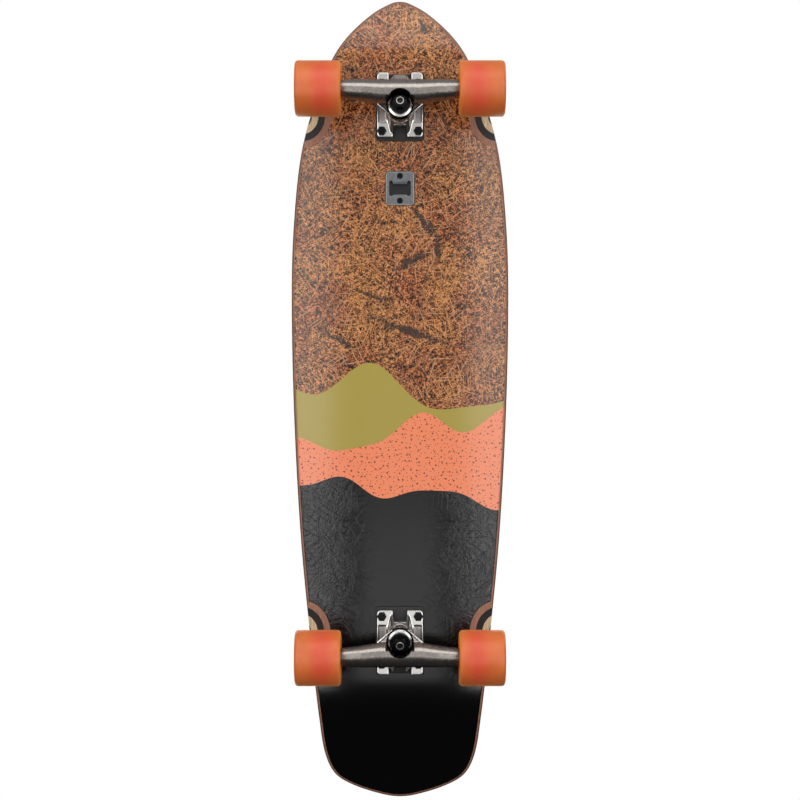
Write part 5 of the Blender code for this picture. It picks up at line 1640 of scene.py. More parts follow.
def tower_shape():
    """The kingpin's seat, its foot and the two ribs that run back beside the channel."""
    seat = [KINGPIN_FRAME @ point for point in circle(TOWER_RADIUS, TOWER_SEAT, BUSHING_STEPS)]
    foot = PLATE_FACE + PLATE_THICKNESS / 2
    middle = seat_centre().y - TOWER_RADIUS / 3
    feet = (
        (TOWER_TAIL_WIDTH / 2, middle - TOWER_TAIL_LENGTH),
        (TOWER_FOOT_WIDTH / 2, middle),
        (TOWER_FOOT_WIDTH / 2 - PLATE_EDGE, middle + TOWER_FRONT_LENGTH),
    )
    ground = [Vector((side * x, y, foot)) for x, y in feet for side in (-1, 1)]
    return hull(seat + ground)


def tower_height(y):
    """How far down the tower's tail slope stands, at a place along the truck."""
    seat = seat_centre() + TOWER_RADIUS * (KINGPIN_FRAME.to_3x3() @ Vector((0, 1, 0)))
    foot_y = seat_centre().y - TOWER_RADIUS / 3 - TOWER_TAIL_LENGTH
    share = (y - foot_y) / (seat.y - foot_y)
    return PLATE_FACE + share * (seat.z - PLATE_FACE)


def seat_centre():
    return KINGPIN_FRAME @ Vector((0, 0, TOWER_SEAT))


def housing_shape():
    """The flat-sided block round the pivot cup, whose narrow end stands in the plate's notch."""
    outline = (
        (HOUSING_END_WIDTH / 2, HOUSING_CROWN),
        (HOUSING_SIDE, HOUSING_SHOULDER),
        (HOUSING_SIDE, -HOUSING_SIDE),
    )
    rims = [
        STEER_FRAME @ Vector((side * x, y, depth))
        for depth in (HOUSING_MOUTH, HOUSING_END)
        for x, y in outline
        for side in (-1, 1)
    ]
    toe = PLATE_OUTER - HOUSING_TOE
    feet = (
        (HOUSING_END_WIDTH / 2, toe),
        (HOUSING_FOOT_WIDTH / 2, toe - HOUSING_FOOT_TAPER),
        (HOUSING_FOOT_WIDTH / 2, toe - HOUSING_FOOT_LENGTH),
    )
    ground = [Vector((side * x, y, PLATE_TOP - GAP)) for x, y in feet for side in (-1, 1)]
    return hull(rims + ground)


def channel_cutter():
    end = PLATE_INNER + CHANNEL_LENGTH
    outline = (
        (CHANNEL_WIDTH / 2, end),
        (-CHANNEL_WIDTH / 2, end),
        (-CHANNEL_MOUTH / 2, PLATE_INNER - PLATE_THICKNESS),
        (CHANNEL_MOUTH / 2, PLATE_INNER - PLATE_THICKNESS),
    )
    return slab(outline, -AXLE_DROP, 0)


def pad_cutters():
    outer = PLATE_WIDTH / 2 - PAD_IN_FROM_SIDE
    outline = rounded_rectangle(
        (outer - PAD_WIDTH, -PAD_LENGTH / 2), (outer, PAD_LENGTH / 2), PAD_CORNER
    )
    right = slab(outline, PLATE_FACE - PLATE_THICKNESS, PLATE_FACE + PAD_DEPTH)
    return right, copy_of(right, Matrix.Rotation(math.pi, 4, "Z"))


def baseplate_shape():
    low = (-PLATE_WIDTH / 2, PLATE_INNER)
    high = (PLATE_WIDTH / 2, PLATE_OUTER)
    plate = slab(rounded_rectangle(low, high, PLATE_CORNER), PLATE_FACE, PLATE_TOP)
    plate = cut(plate, *pad_cutters(), end_notch(PLATE_OUTER, PLATE_NOTCH_DEPTH), channel_cutter())
    plate = bevelled(plate, PLATE_ROUND, 3, PLATE_EDGE_ANGLE)
    body = cut(join(plate, tower_shape(), housing_shape()), channel_cutter())
    body = join(remeshed(body, CASTING_VOXEL, CASTING_SOFTENING), ledge_shape())
    bore = cylinder(KINGPIN_RADIUS + GAP, KINGPIN_HEAD_TOP * 2, 0, PIN_STEPS)
    head = cylinder(KINGPIN_HEAD_RADIUS + GAP, KINGPIN_HEAD_TOP * 2, KINGPIN_HEAD_TOP + GAP, PIN_STEPS)
    seat = cylinder(TOWER_RADIUS * SEAT_CUT_SHARE, TOWER_SEAT, 0, RING_STEPS)
    cup = cylinder(CUP_RADIUS + GAP, 0, CUP_END + GAP, PIN_STEPS)
    return cut(
        body,
        moved(bore, KINGPIN_FRAME),
        moved(head, KINGPIN_FRAME),
        moved(seat, KINGPIN_FRAME),
        moved(cup, STEER_FRAME),
        *truck_bolt_holes(BOLT_RADIUS + GAP),
    )


def bar_shape():
    """The cross bar: thick in the middle, tapering to the wheels with its outer side nearly straight."""
    stations = (
        (HANGER_WIDTH / 2, 0, 0, BAR_END_RADIUS),
        (BAR_SHOULDER_X, BAR_SHOULDER_IN, BAR_SHOULDER_UP, BAR_SHOULDER_RADIUS),
        (BAR_MIDDLE_X, BAR_MIDDLE_IN, BAR_MIDDLE_UP, BAR_MIDDLE_RADIUS),
    )
    mirrored = [(-x, inward, up, radius) for x, inward, up, radius in reversed(stations)]
    curve = bpy.data.curves.new("bar", "CURVE")
    curve.dimensions = "3D"
    curve.bevel_depth = 1.0
    curve.bevel_resolution = BAR_STEPS // 2 - 2
    curve.use_fill_caps = True
    spline = curve.splines.new("POLY")
    spline.points.add(2 * len(stations) - 1)
    for point, (x, inward, up, radius) in zip(spline.points, (*stations, *mirrored)):
        place = AXLE_CENTRE + Vector((x, -inward, up))
        point.co = (*place, 1)
        point.radius = radius
    return edit(bake(helper(curve)), weld)


def ring_shape():
    """The ring below its collar, with a flank that slopes out to its full width."""
    profile = (
        (COLLAR_RADIUS, COLLAR_FOOT),
        (RING_RADIUS, RING_CHAMFER),
        (RING_RADIUS, RING_CHAMFER - RING_TOP),
        (RING_RADIUS - RING_CHAMFER, -RING_TOP),
        (0, -RING_TOP),
        (0, COLLAR_FOOT),
    )
    return moved(turned(profile, RING_STEPS), KINGPIN_FRAME)


def collar_shape():
    """The machined collar round the upper bushing, whose face slopes a little outwards."""
    rim = COLLAR_TOP - (COLLAR_RADIUS - COLLAR_SEAT) * math.tan(COLLAR_SLOPE)
    profile = (
        (COLLAR_SEAT, COLLAR_TOP),
        (COLLAR_RADIUS - SMALL_EDGE, rim + SMALL_EDGE * math.tan(COLLAR_SLOPE)),
        (COLLAR_RADIUS, rim - SMALL_EDGE),
        (COLLAR_RADIUS, RING_FACE - GAP),
        (COLLAR_SEAT, RING_FACE - GAP),
    )
    return moved(turned(profile, RING_STEPS), KINGPIN_FRAME)


def ring_seats():
    """What is turned out of the ring: room for the collar, the bore and the lower bushing's seat."""
    top = RING_TOP + 2 * GAP
    bottom = -AXLE_DROP / 3
    profile = (
        (COLLAR_RADIUS + GAP, top),
        (COLLAR_RADIUS + GAP, RING_FACE),
        (RING_BORE, RING_FACE),
        (RING_BORE, -RING_FACE),
        (SEAT_RADIUS, -RING_FACE),
        (SEAT_RADIUS, bottom),
        (0, bottom),
        (0, top),
    )
    return moved(turned(profile, RING_STEPS), KINGPIN_FRAME)


def yoke_shape():
    """The V-shaped web from the bar's shoulders down to the ring."""
    rims = [
        KINGPIN_FRAME @ point
        for height in (-RING_FACE, RING_FACE)
        for point in circle(RING_RADIUS - RING_CHAMFER, height, RING_STEPS)
    ]
    back = AXLE_CENTRE.y - YOKE_BEHIND_AXLE
    low = AXLE_CENTRE.z + BAR_MIDDLE_UP
    wings = [
        Vector((side * YOKE_SPREAD, y, z))
        for side in (-1, 1)
        for y in (back, AXLE_CENTRE.y)
        for z in (low, low + YOKE_DEPTH)
    ]
    return hull(rims + wings)


def pivot_shape():
    tip = PIVOT_TIP_RADIUS
    profile = arc((0, PIVOT_LENGTH - tip), tip, 90, 0, TIP_STEPS)
    profile += [(tip, PIVOT_TAPER_TO), (PIVOT_ROOT_RADIUS, PIVOT_TAPER_FROM), (PIVOT_ROOT_RADIUS, 0), (0, 0)]
    return moved(turned(profile, PIN_STEPS), STEER_FRAME)


def rib_shape():
    """The web between the pivot and the bar."""
    root = STEER_FRAME @ Vector((0, 0, PIVOT_TAPER_FROM))
    end = STEER_FRAME @ Vector((0, 0, (PIVOT_TAPER_FROM + PIVOT_TAPER_TO) / 2))
    bar = AXLE_CENTRE + Vector((0, -BAR_MIDDLE_IN, BAR_MIDDLE_UP))
    crown = bar + Vector((0, BAR_MIDDLE_RADIUS / 2, 0))
    points = [
        place + Vector((side * RIB_THICKNESS / 2, 0, 0))
        for place in (root, end, bar, crown, RING_CENTRE)
        for side in (-1, 1)
    ]
    return hull(points)


def oval(radius, swing, height):
    """Two circles side by side, whose hull is an oval."""
    rim = circle(radius, height, RING_STEPS)
    return [point + Vector((side * swing, 0, 0)) for side in (-1, 1) for point in rim]


def washer_pocket():
    """Room in the bar for the upper washer as the hanger swings."""
    return hull(
        oval(SEAT_RADIUS, SWING_CLEARANCE, RING_TOP + GAP)
        + oval(SEAT_RADIUS, SWING_CLEARANCE, UPPER_WASHER_FROM + WASHER_THICKNESS + SWING_CLEARANCE / 2)
    )


def nut_pocket():
    """Room in the bar for the nut and its spanner, widening with the casting's draft."""
    corner = KINGPIN_NUT_FLATS / 2 + NUT_CLEARANCE
    return hull(
        oval(corner, NUT_SWING, KINGPIN_NUT_FROM)
        + oval(corner + NUT_POCKET_DRAFT, NUT_SWING, KINGPIN_NUT_FROM + BAR_MIDDLE_RADIUS)
    )


def spanner_pocket():
    """The round recess over the nut in the bar's face, which leaves a floor over the axle."""
    floor = AXLE_CENTRE.z - AXLE_RADIUS - GAP - SPANNER_FLOOR
    mouth = floor - BAR_MIDDLE_RADIUS
    narrow = SPANNER_RADIUS - SPANNER_DRAFT
    wide = SPANNER_RADIUS + SPANNER_DRAFT
    profile = ((narrow, floor), (wide, mouth), (0, mouth), (0, floor))
    return moved(turned(profile, RING_STEPS), Matrix.Translation((0, SPANNER_OUT, 0)))


def hanger_shape():
    hanger = join(bar_shape(), ring_shape(), yoke_shape(), pivot_shape(), rib_shape())
    hanger = remeshed(hanger, CASTING_VOXEL, CASTING_SOFTENING)
    hanger = join(hanger, *[bead_shape(start, end) for start, end in YOKE_EDGES])
    tunnel = moved(cylinder(AXLE_RADIUS + GAP, -HANGER_WIDTH, HANGER_WIDTH, HUB_STEPS), AXLE_FRAME)
    pockets = [moved(washer_pocket(), KINGPIN_FRAME), moved(nut_pocket(), KINGPIN_FRAME), spanner_pocket()]
    return join(cut(hanger, *pockets, ring_seats(), tunnel), collar_shape())


def axle_shape():
    """The axle with a speed washer on each side of each wheel's bearings, and threaded ends."""
    thread_from = AXLE_NUT_FROM - GAP
    half = [(AXLE_RADIUS, 0)]
    for start in (INNER_WASHER_FROM, OUTER_WASHER_FROM):
        end = start + SPEED_WASHER_THICKNESS
        half += [(AXLE_RADIUS, start), (SPEED_WASHER_RADIUS, start)]
        half += [(SPEED_WASHER_RADIUS, end), (AXLE_RADIUS, end)]
    half += [(AXLE_RADIUS, thread_from), (0, thread_from)]
    other = [(radius, -along) for radius, along in reversed(half[1:])]
    axle = turned([*reversed(half[1:]), *reversed(other)], HUB_STEPS)
    outer = threaded_rod(AXLE_RADIUS, thread_from - GAP, AXLE_END)
    return join(axle, outer, threaded_rod(AXLE_RADIUS, -AXLE_END, GAP - thread_from))


def nut_shape(flats, bore, height):
    """A hexagonal lock nut with its nylon's collar."""
    collar = flats / 2 - SMALL_EDGE * 2
    shoulder = height - NYLON_HEIGHT
    hexagon = turned_hexagon(flats, 0, shoulder, both_ends=True)
    profile = [
        *arc((collar - SMALL_EDGE, height - SMALL_EDGE), SMALL_EDGE, 90, 0, EDGE_STEPS),
        (collar, shoulder / 2),
        (0, shoulder / 2),
        (0, height),
    ]
    crown = turned(profile, BUSHING_STEPS)
    return cut(join(hexagon, crown), cylinder(bore, -height, 2 * height, HUB_STEPS))


def bearing_shape():
    """The two races of a shielded bearing, with the shield between them sunk."""
    bore = AXLE_RADIUS + GAP
    edge = BEARING_EDGE
    shield = BEARING_WIDTH - BEARING_SHIELD_DEPTH
    profile = [
        *arc((BEARING_RADIUS - edge, BEARING_WIDTH - edge), edge, 90, 0, RACE_STEPS),
        (BEARING_RADIUS, 0),
        (bore, 0),
        *arc((bore + edge, BEARING_WIDTH - edge), edge, 180, 90, RACE_STEPS),
        (SHIELD_INNER - BEARING_GROOVE, BEARING_WIDTH),
        (SHIELD_INNER, shield - BEARING_GROOVE),
        (SHIELD_OUTER, shield - BEARING_GROOVE),
        (SHIELD_OUTER + BEARING_GROOVE, BEARING_WIDTH),
    ]
    return turned(profile, HUB_STEPS)


def shield_shape():
    """The dished shield between a bearing's races."""
    shield = BEARING_WIDTH - BEARING_SHIELD_DEPTH
    low = shield - BEARING_GROOVE / 2
    profile = [
        (SHIELD_OUTER, low),
        (SHIELD_INNER, low),
        (SHIELD_INNER, shield),
        (SHIELD_INNER + SMALL_EDGE, shield + BEARING_GROOVE),
        (SHIELD_OUTER - SMALL_EDGE, shield + BEARING_GROOVE),
        (SHIELD_OUTER, shield),
    ]
    return turned(profile[::-1], HUB_STEPS)


def bushing_shape(bottom, top, low, high):
    """A barrel of urethane with rounded edges, of the given radii at its two ends."""
    bore = KINGPIN_RADIUS + BUSHING_PLAY
    edge = BUSHING_EDGE
    side = []
    for step in range(BARREL_STEPS + 1):
        share = step / BARREL_STEPS
        height = high - edge - (high - low - 2 * edge) * share
        side.append((top + (bottom - top) * share + BUSHING_BULGE * math.sin(math.pi * share), height))
    profile = [
        *arc((top - edge, high - edge), edge, 90, 0, EDGE_STEPS),
        *side[1:-1],
        *arc((bottom - edge, low + edge), edge, 0, -90, EDGE_STEPS),
        (bore, low),
        (bore, high),
    ]
    return turned(profile, BUSHING_STEPS)


def washer_shape(radius, low):
    """A washer whose rim is rounded towards the nut."""
    bore = KINGPIN_RADIUS + GAP
    high = low + WASHER_THICKNESS
    profile = [
        *arc((radius - WASHER_LIP, high - WASHER_LIP), WASHER_LIP, 90, 0, WASHER_STEPS),
        (radius, low),
        (bore, low),
        (bore, high),
    ]
    return turned(profile, BUSHING_STEPS)


def kingpin_shape():
    head_end = KINGPIN_HEAD_TOP - KINGPIN_HEAD_HEIGHT
    profile = (
        (KINGPIN_RADIUS - THREAD_DEPTH, UPPER_WASHER_FROM),
        (KINGPIN_RADIUS - THREAD_DEPTH / 2, UPPER_WASHER_FROM - THREAD_DEPTH),
        (KINGPIN_RADIUS, KINGPIN_HEAD_TOP),
        (KINGPIN_HEAD_RADIUS, KINGPIN_HEAD_TOP),
        (KINGPIN_HEAD_RADIUS, head_end + SMALL_EDGE),
        (KINGPIN_HEAD_RADIUS - SMALL_EDGE, head_end),
        (0, head_end),
        (0, UPPER_WASHER_FROM),
    )
    thread = threaded_rod(KINGPIN_RADIUS, UPPER_WASHER_FROM - THREAD_DEPTH, KINGPIN_TIP)
    past_tip = KINGPIN_TIP + THREAD_PITCH
    dimple = turned(
        (
            (KINGPIN_HOLE, past_tip),
            (KINGPIN_HOLE - SMALL_EDGE, KINGPIN_TIP - KINGPIN_HOLE_DEPTH),
            (0, KINGPIN_TIP - KINGPIN_HOLE_DEPTH),
            (0, past_tip),
        ),
        PIN_STEPS,
    )
    return cut(join(turned(profile, PIN_STEPS), thread), dimple)


def kingpin_bare(point):
    """1 on the cut end of the kingpin, round its hole."""
    off = math.hypot(point.x, point.y)
    return 1.0 if point.z > KINGPIN_TIP - GAP and off > KINGPIN_HOLE - GAP else 0.0


def cup_shape():
    """The urethane cup that the hanger's pivot turns in."""
    bore = PIVOT_TIP_RADIUS + GAP
    floor = PIVOT_LENGTH + GAP
    profile = (
        (0, CUP_END),
        (CUP_RADIUS - GAP, CUP_END),
        (CUP_RADIUS, CUP_END - GAP),
        (CUP_RADIUS, CUP_MOUTH),
        (bore + GAP, CUP_MOUTH),
        (bore, CUP_MOUTH + GAP),
        (bore, floor),
        (0, floor),
    )
    return turned(profile, PIN_STEPS)


def tyre_shape():
    """The cast wheel, along its axle from the middle of the board."""
    inner = WHEEL_INNER_FACE_X
    outer = WHEEL_OUTER_FACE_X
    lip = WHEEL_LIP
    bore = CORE_RADIUS + GAP
    profile = [
        (WHEEL_RECESS_OUT, outer - TYRE_DISH),
        (WHEEL_RECESS_OUT + TYRE_DISH, outer),
        *arc((WHEEL_RADIUS - lip, outer - lip), lip, 90, 0, TYRE_LIP_STEPS),
        *arc((WHEEL_RADIUS - lip, inner + lip), lip, 0, -90, TYRE_LIP_STEPS),
        (WHEEL_RECESS_IN + TYRE_DISH, inner),
        (WHEEL_RECESS_IN, inner + TYRE_DISH),
        (bore, CORE_FROM),
        (bore, CORE_TO),
    ]
    return turned(profile, WHEEL_STEPS)


def core_shape():
    """The hub inside the tyre, with a seat for a bearing at each end."""
    seat = BEARING_RADIUS + GAP
    shoulder = seat - CORE_SHOULDER
    inner_step = INNER_BEARING_FROM + BEARING_WIDTH + GAP
    outer_step = OUTER_BEARING_FROM - GAP
    profile = (
        (CORE_END_RADIUS, CORE_TO),
        (CORE_RADIUS, CORE_TO - CORE_FLANGE),
        (CORE_RADIUS, CORE_FROM + CORE_FLANGE),
        (CORE_END_RADIUS, CORE_FROM),
        (seat, CORE_FROM),
        (seat, inner_step),
        (shoulder, inner_step),
        (shoulder, outer_step),
        (seat, outer_step),
        (seat, CORE_TO),
    )
    return turned(profile, HUB_STEPS)


def near_line(point, start, end):
    """How far a point lies from the line between two others."""
    along = end - start
    share = max(0.0, min(1.0, (point - start).dot(along) / along.length_squared))
    return (point - start - share * along).length


def yoke_edges():
    """The V-shaped web's lower edges, each from the bar's shoulder to where it meets the ring."""
    rim = RING_RADIUS - RING_CHAMFER
    edges = []
    for side in (-1, 1):
        wing = Vector((side * YOKE_SPREAD, AXLE_CENTRE.y - YOKE_BEHIND_AXLE, AXLE_CENTRE.z + BAR_MIDDLE_UP))
        seen = TO_KINGPIN @ wing
        turn = math.atan2(seen.y, abs(seen.x)) + math.acos(rim / math.hypot(seen.x, seen.y))
        meeting = Vector((side * rim * math.cos(turn), rim * math.sin(turn), RING_FACE))
        edges.append((wing, KINGPIN_FRAME @ meeting))
    return edges


def bead_shape(start, end):
    """A polished bead along an edge."""
    along = end - start
    turn = along.to_track_quat("Z", "Y").to_matrix().to_4x4()
    return moved(cylinder(BEAD_RADIUS, 0, along.length, ROUND_STEPS * 2), Matrix.Translation(start) @ turn)


def pocket_radius(z):
    """The spanner pocket's radius at a height in the truck."""
    depth = AXLE_CENTRE.z - AXLE_RADIUS - GAP - SPANNER_FLOOR - z
    return SPANNER_RADIUS - SPANNER_DRAFT + 2 * SPANNER_DRAFT * depth / BAR_MIDDLE_RADIUS


def hanger_bare_and_shade(point):
    """1 on the machined collar and the web's beads; below 0, as painted shade, in the pockets and in the
    lines beside both.
    """
    on_pin = TO_KINGPIN @ point
    off_pin = math.hypot(on_pin.x, on_pin.y)
    # The collar's face is bare metal, with painted shade inside its seat
    if COLLAR_FOOT < on_pin.z < COLLAR_TOP + GAP and off_pin < COLLAR_RADIUS + GAP:
        return 1.0 if off_pin > COLLAR_SEAT - GAP / 2 else -1.0
    # Painted shade down in the spanner pocket and the washer's seat
    in_pocket = math.hypot(point.x, point.y - SPANNER_OUT) < pocket_radius(point.z) + GAP
    in_seat = on_pin.z < KINGPIN_NUT_FROM and off_pin < SEAT_RADIUS + SWING_CLEARANCE
    if on_pin.z > COLLAR_TOP and (in_pocket or in_seat):
        return -1.0
    # Painted shade on the ring's flank below the collar, leaving a lit line at its rim
    if 0 < on_pin.z < COLLAR_TOP and COLLAR_RADIUS < off_pin < RING_RADIUS - RING_LINE:
        return -RING_FLANK_SHADE
    away = min(near_line(point, start, end) for start, end in YOKE_EDGES)
    if away < BEAD_RADIUS + GAP / 2:
        return 1.0
    # Painted shade in a line on each side of a bead
    return -BEAD_SHADE_DARKNESS if away < BEAD_RADIUS + BEAD_SHADE_WIDTH else 0.0


YOKE_EDGES = yoke_edges()


def ledge_shape():
    """The narrow polished flat on the tower, at the end of the channel."""
    near = PLATE_INNER + CHANNEL_LENGTH
    half = LEDGE_WIDTH / 2
    outline = ((half, near), (half, near + LEDGE_DEPTH), (-half, near + LEDGE_DEPTH), (-half, near))
    return slab(outline, LEDGE_HEIGHT - LEDGE_PROUD, PLATE_FACE)


def baseplate_bare(point):
    """1 on the polished flat of the plate, outside its rough side pads, and on the tower's ledge."""
    on_ledge = abs(point.z - LEDGE_HEIGHT + LEDGE_PROUD) < GAP and abs(point.x) < LEDGE_WIDTH / 2 + GAP
    level = abs(point.z - PLATE_FACE)
    return 1.0 if level < MACHINED_SKIN / 2 or on_ledge else 0.0


LEDGE_HEIGHT = tower_height(PLATE_INNER + CHANNEL_LENGTH + LEDGE_DEPTH)


def truck_shapes():
    """A truck's shapes that stay with the board, each with its finish and its place in the truck."""
    lower = (BUSHING_RADIUS, BUSHING_RADIUS, LOWER_BUSHING_FROM, LOWER_BUSHING_TO)
    top = UPPER_BUSHING_TOP_RADIUS + BUSHING_BULGE
    upper = (COLLAR_SEAT - GAP, top, UPPER_BUSHING_FROM, UPPER_BUSHING_TO)
    return {
        "riser": (riser_shape(), "riser_rubber", Matrix()),
        "baseplate": (marked(baseplate_shape(), baseplate_bare), "polished_casting", Matrix()),
        "pivot_cup": (cup_shape(), "bushing_urethane", STEER_FRAME),
        "kingpin": (marked(kingpin_shape(), kingpin_bare), "blackened_pin", KINGPIN_FRAME),
        "kingpin_nut": (
            nut_shape(KINGPIN_NUT_FLATS, KINGPIN_RADIUS + GAP, KINGPIN_NUT_HEIGHT),
            "black_steel",
            KINGPIN_FRAME @ Matrix.Translation((0, 0, KINGPIN_NUT_FROM)),
        ),
        "lower_bushing": (bushing_shape(*lower), "bushing_urethane", KINGPIN_FRAME),
        "upper_bushing": (bushing_shape(*upper), "bushing_urethane", KINGPIN_FRAME),
        "lower_washer": (washer_shape(WASHER_RADIUS, LOWER_WASHER_FROM), "bright_steel", KINGPIN_FRAME),
        "upper_washer": (washer_shape(WASHER_RADIUS, UPPER_WASHER_FROM), "black_steel", KINGPIN_FRAME),
    }


def make_truck(end, shapes, truck_frame):
    """The pieces that stay with the board. A bushing is given its washer's end and its hanger's end, but it
    is neither bent nor attached to a body.
    """
    bushing_ends = {
        "lower_bushing": (LOWER_BUSHING_FROM, LOWER_BUSHING_TO),
        "upper_bushing": (UPPER_BUSHING_TO, UPPER_BUSHING_FROM),
    }
    for piece, (shape, finish, matrix) in shapes.items():
        node = f"{end}_{piece}"
        slot = {"polished_casting": "cast_silver", "blackened_pin": "black_steel"}.get(finish, finish)
        bend = (f"{end}_truck", *bushing_ends[piece]) if piece in bushing_ends else None
        place(f"{node}_fine", shape, finish, "board", [node], truck_frame @ matrix, slot, bend)


def make_wheel(name, shapes, axle_frame):
    """The pieces that turn with a wheel, and the nut that holds it on its axle."""
    def at(along):
        return axle_frame @ Matrix.Translation((0, 0, along))

    turned_round = at(INNER_BEARING_FROM + BEARING_WIDTH) @ Matrix.Rotation(math.pi, 4, "X")
    body = f"{name}_wheel"
    place(f"{name}_tyre_cast", shapes["tyre"], "orange_urethane", body, [f"{name}_tyre"], axle_frame)
    place(f"{name}_hub_core", shapes["core"], "core_plastic", body, [f"{name}_core"], axle_frame)
    for where, matrix in (("outer", at(OUTER_BEARING_FROM)), ("inner", turned_round)):
        node = f"{name}_bearing_{where}"
        place(f"{node}_races", shapes["bearing"], "bright_steel", body, [node], matrix)
        place(f"{node}_shield", shapes["shield"], "shield", body, [], matrix, slot="black_steel")
    truck = name.split("_")[0] + "_truck"
    place(f"{name}_lock_nut", shapes["nut"], "bright_steel", truck, [f"{name}_axle_nut"], at(AXLE_NUT_FROM))


def make_trucks():
    shapes = truck_shapes()
    hanger = marked(hanger_shape(), hanger_bare_and_shade)
    axle = axle_shape()
    wheel = {
        "tyre": tyre_shape(),
        "core": core_shape(),
        "bearing": bearing_shape(),
        "shield": shield_shape(),
        "nut": nut_shape(AXLE_NUT_FLATS, AXLE_RADIUS + GAP, AXLE_NUT_HEIGHT),
    }
    half_turn = Matrix.Rotation(math.pi, 4, "Z")
    frames = {
        "front": Matrix.Translation((0, FRONT_TRUCK_Y, DECK_UNDERSIDE)),
        "rear": Matrix.Translation((0, REAR_TRUCK_Y, DECK_UNDERSIDE)) @ half_turn,
    }
    for end, truck_frame in frames.items():
        make_truck(end, shapes, truck_frame)
        body = f"{end}_truck"
        place(f"{end}_hanger_casting", hanger, "gunmetal", body, [f"{end}_hanger"], truck_frame)
        place(f"{end}_axle_rod", axle, "bright_steel", body, [f"{end}_axle"], truck_frame @ AXLE_FRAME)
        axle_y = (truck_frame @ AXLE_CENTRE).y
        for side, across in (("right", 1), ("left", -1)):
            outward = Matrix.Rotation(across * math.pi / 2, 4, "Y")
            make_wheel(f"{end}_{side}", wheel, Matrix.Translation((0, axle_y, WHEEL_RADIUS)) @ outward)


def finish_hidden_nodes():
    """The nodes that are kept as they are: the spacers inside the wheels."""
    for name, node in frame["nodes"].items():
        if name.endswith("_spacer"):
            node.data.materials.clear()
            node.data.materials.append(FINISHES["bright_steel"])


def clear_workshop():
    for obj in list(WORKSHOP.objects):
        bpy.data.objects.remove(obj)
    bpy.data.collections.remove(WORKSHOP)


# Stage

CAMERA_DISTANCE = 2.3
CAMERA_LENS = 91.0
CAMERA_SENSOR = 36.0
FLOOR_SIZE = 14.0


def make_camera():
    """Straight below the board, looking up, with the nose at the top of the picture."""
    camera = bpy.data.objects.new("camera", bpy.data.cameras.new("camera"))
    bpy.context.scene.collection.objects.link(camera)
    camera.data.lens = CAMERA_LENS
    camera.data.sensor_width = CAMERA_SENSOR
    camera.location = (0, 0, DECK_UNDERSIDE - CAMERA_DISTANCE)
    camera.rotation_euler = (0, math.pi, 0)
    bpy.context.scene.camera = camera


def make_floor():
    """A pale floor seen from above only: from below, and to light, it is open."""
    bm = bmesh.new()
    bmesh.ops.create_grid(bm, x_segments=1, y_segments=1, size=FLOOR_SIZE / 2)
    floor = helper_from(bm)
    floor.name = "floor"
    WORKSHOP.objects.unlink(floor)
    bpy.context.scene.collection.objects.link(floor)
    material = bpy.data.materials.new("floor")
    material.use_nodes = True
    material.node_tree.nodes.clear()
    graph = Graph(material.node_tree)
    paper = graph.node("ShaderNodeBsdfDiffuse", {"Color": (0.86, 0.86, 0.86, 1)}).outputs[0]
    open_air = graph.node("ShaderNodeBsdfTransparent").outputs[0]
    seen = graph.node("ShaderNodeLightPath").outputs["Is Camera Ray"]
    above = graph.calc("SUBTRACT", 1.0, graph.node("ShaderNodeNewGeometry").outputs["Backfacing"])
    shown = graph.calc("MULTIPLY", seen, above)
    surface = graph.node("ShaderNodeMixShader", {0: shown, 1: open_air, 2: paper}).outputs[0]
    graph.node("ShaderNodeOutputMaterial", {"Surface": surface})
    floor.data.materials.append(material)


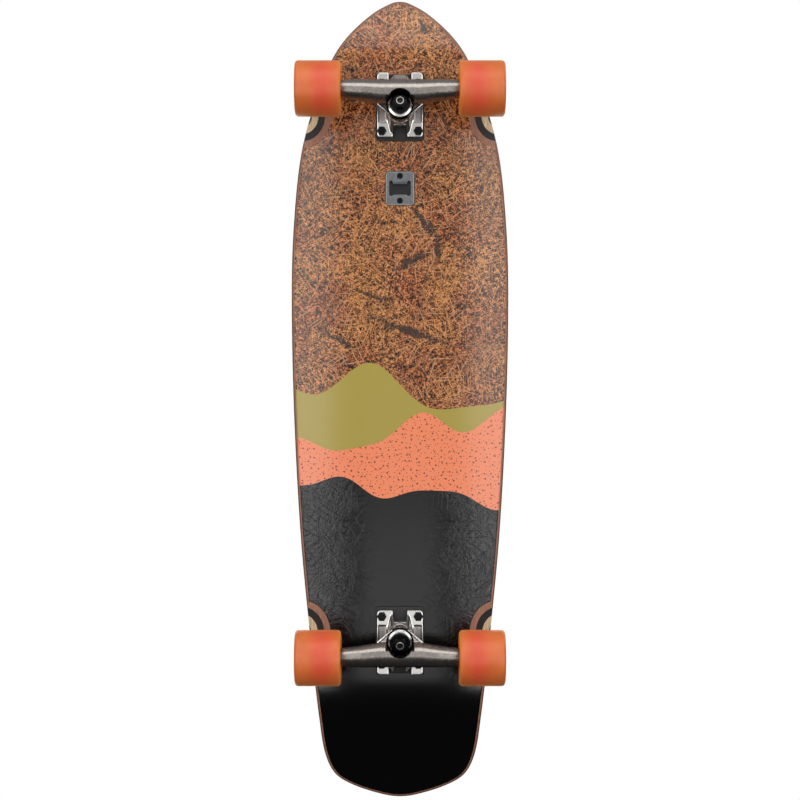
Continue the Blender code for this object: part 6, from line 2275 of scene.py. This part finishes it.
def make_world():
    """White to the camera. To the board it is a dim room, darker towards the tail."""
    world = bpy.data.worlds.new("room")
    world.use_nodes = True
    world.node_tree.nodes.clear()
    bpy.context.scene.world = world
    graph = Graph(world.node_tree)
    direction = graph.node("ShaderNodeTexCoord").outputs["Generated"]
    _, y, _ = graph.parts(direction)
    room = graph.mix(graph.ramp(y, -0.45, 0.50), (0.02, 0.02, 0.02, 1), (0.34, 0.34, 0.34, 1))
    seen = graph.node("ShaderNodeLightPath").outputs["Is Camera Ray"]
    colour = graph.mix(seen, room, (1, 1, 1, 1))
    background = graph.node("ShaderNodeBackground", {"Color": colour}).outputs[0]
    graph.node("ShaderNodeOutputWorld", {"Surface": background})


# Soft boxes: centre, what it looks at, width and length, brightness
SOFT_BOXES = {
    "left_below": ((-0.98, 0.1, -2.25), (0, 0, 0.087), (0.95, 2.4), 2.6),
    "right_below": ((0.98, 0.1, -2.25), (0, 0, 0.087), (0.95, 2.4), 2.6),
    "middle_below": ((0.0, 0.58, -2.6), (0, 0.58, 0.087), (0.34, 1.6), 0.55),
    "tail_below": ((0.0, -0.54, -2.6), (0, -0.54, 0.087), (0.60, 0.56), 1.1),
    "nose_below": ((0.0, 2.35, -1.60), (0, 0.3, 0.087), (2.2, 1.7), 2.1),
    "far_left": ((-2.4, 0.2, -1.6), (0, 0, 0.087), (1.2, 2.2), 1.5),
    "far_right": ((2.4, 0.2, -1.6), (0, 0, 0.087), (1.2, 2.2), 1.5),
    "overhead": ((0.2, -0.3, 2.4), (0, 0, 0.1), (2.6, 2.6), 1.9),
    "side_overhead": ((-2.2, 1.4, 1.6), (0, 0, 0.1), (1.4, 1.4), 1.6),
}


def make_lights():
    for name, (centre, target, (width, length), brightness) in SOFT_BOXES.items():
        data = bpy.data.lights.new(name, "AREA")
        data.shape = "RECTANGLE"
        data.size = width
        data.size_y = length
        data.energy = brightness * width * length * math.pi
        light = bpy.data.objects.new(name, data)
        light.location = centre
        back = (Vector(centre) - Vector(target)).normalized()
        side = Vector((0, 1, 0)).cross(back).normalized()
        light.rotation_euler = Matrix((side, back.cross(side), back)).transposed().to_euler()
        light.visible_camera = False
        bpy.context.scene.collection.objects.link(light)


PRESS = press_tree()
SET_OUT = set_out_tree()
make_deck()
make_grip()
make_opener()
make_bolts()
make_trucks()
finish_hidden_nodes()
make_floor()
clear_workshop()
make_camera()
make_world()
make_lights()

bpy.context.scene.view_settings.view_transform = "Standard"
bpy.context.view_layer.update()
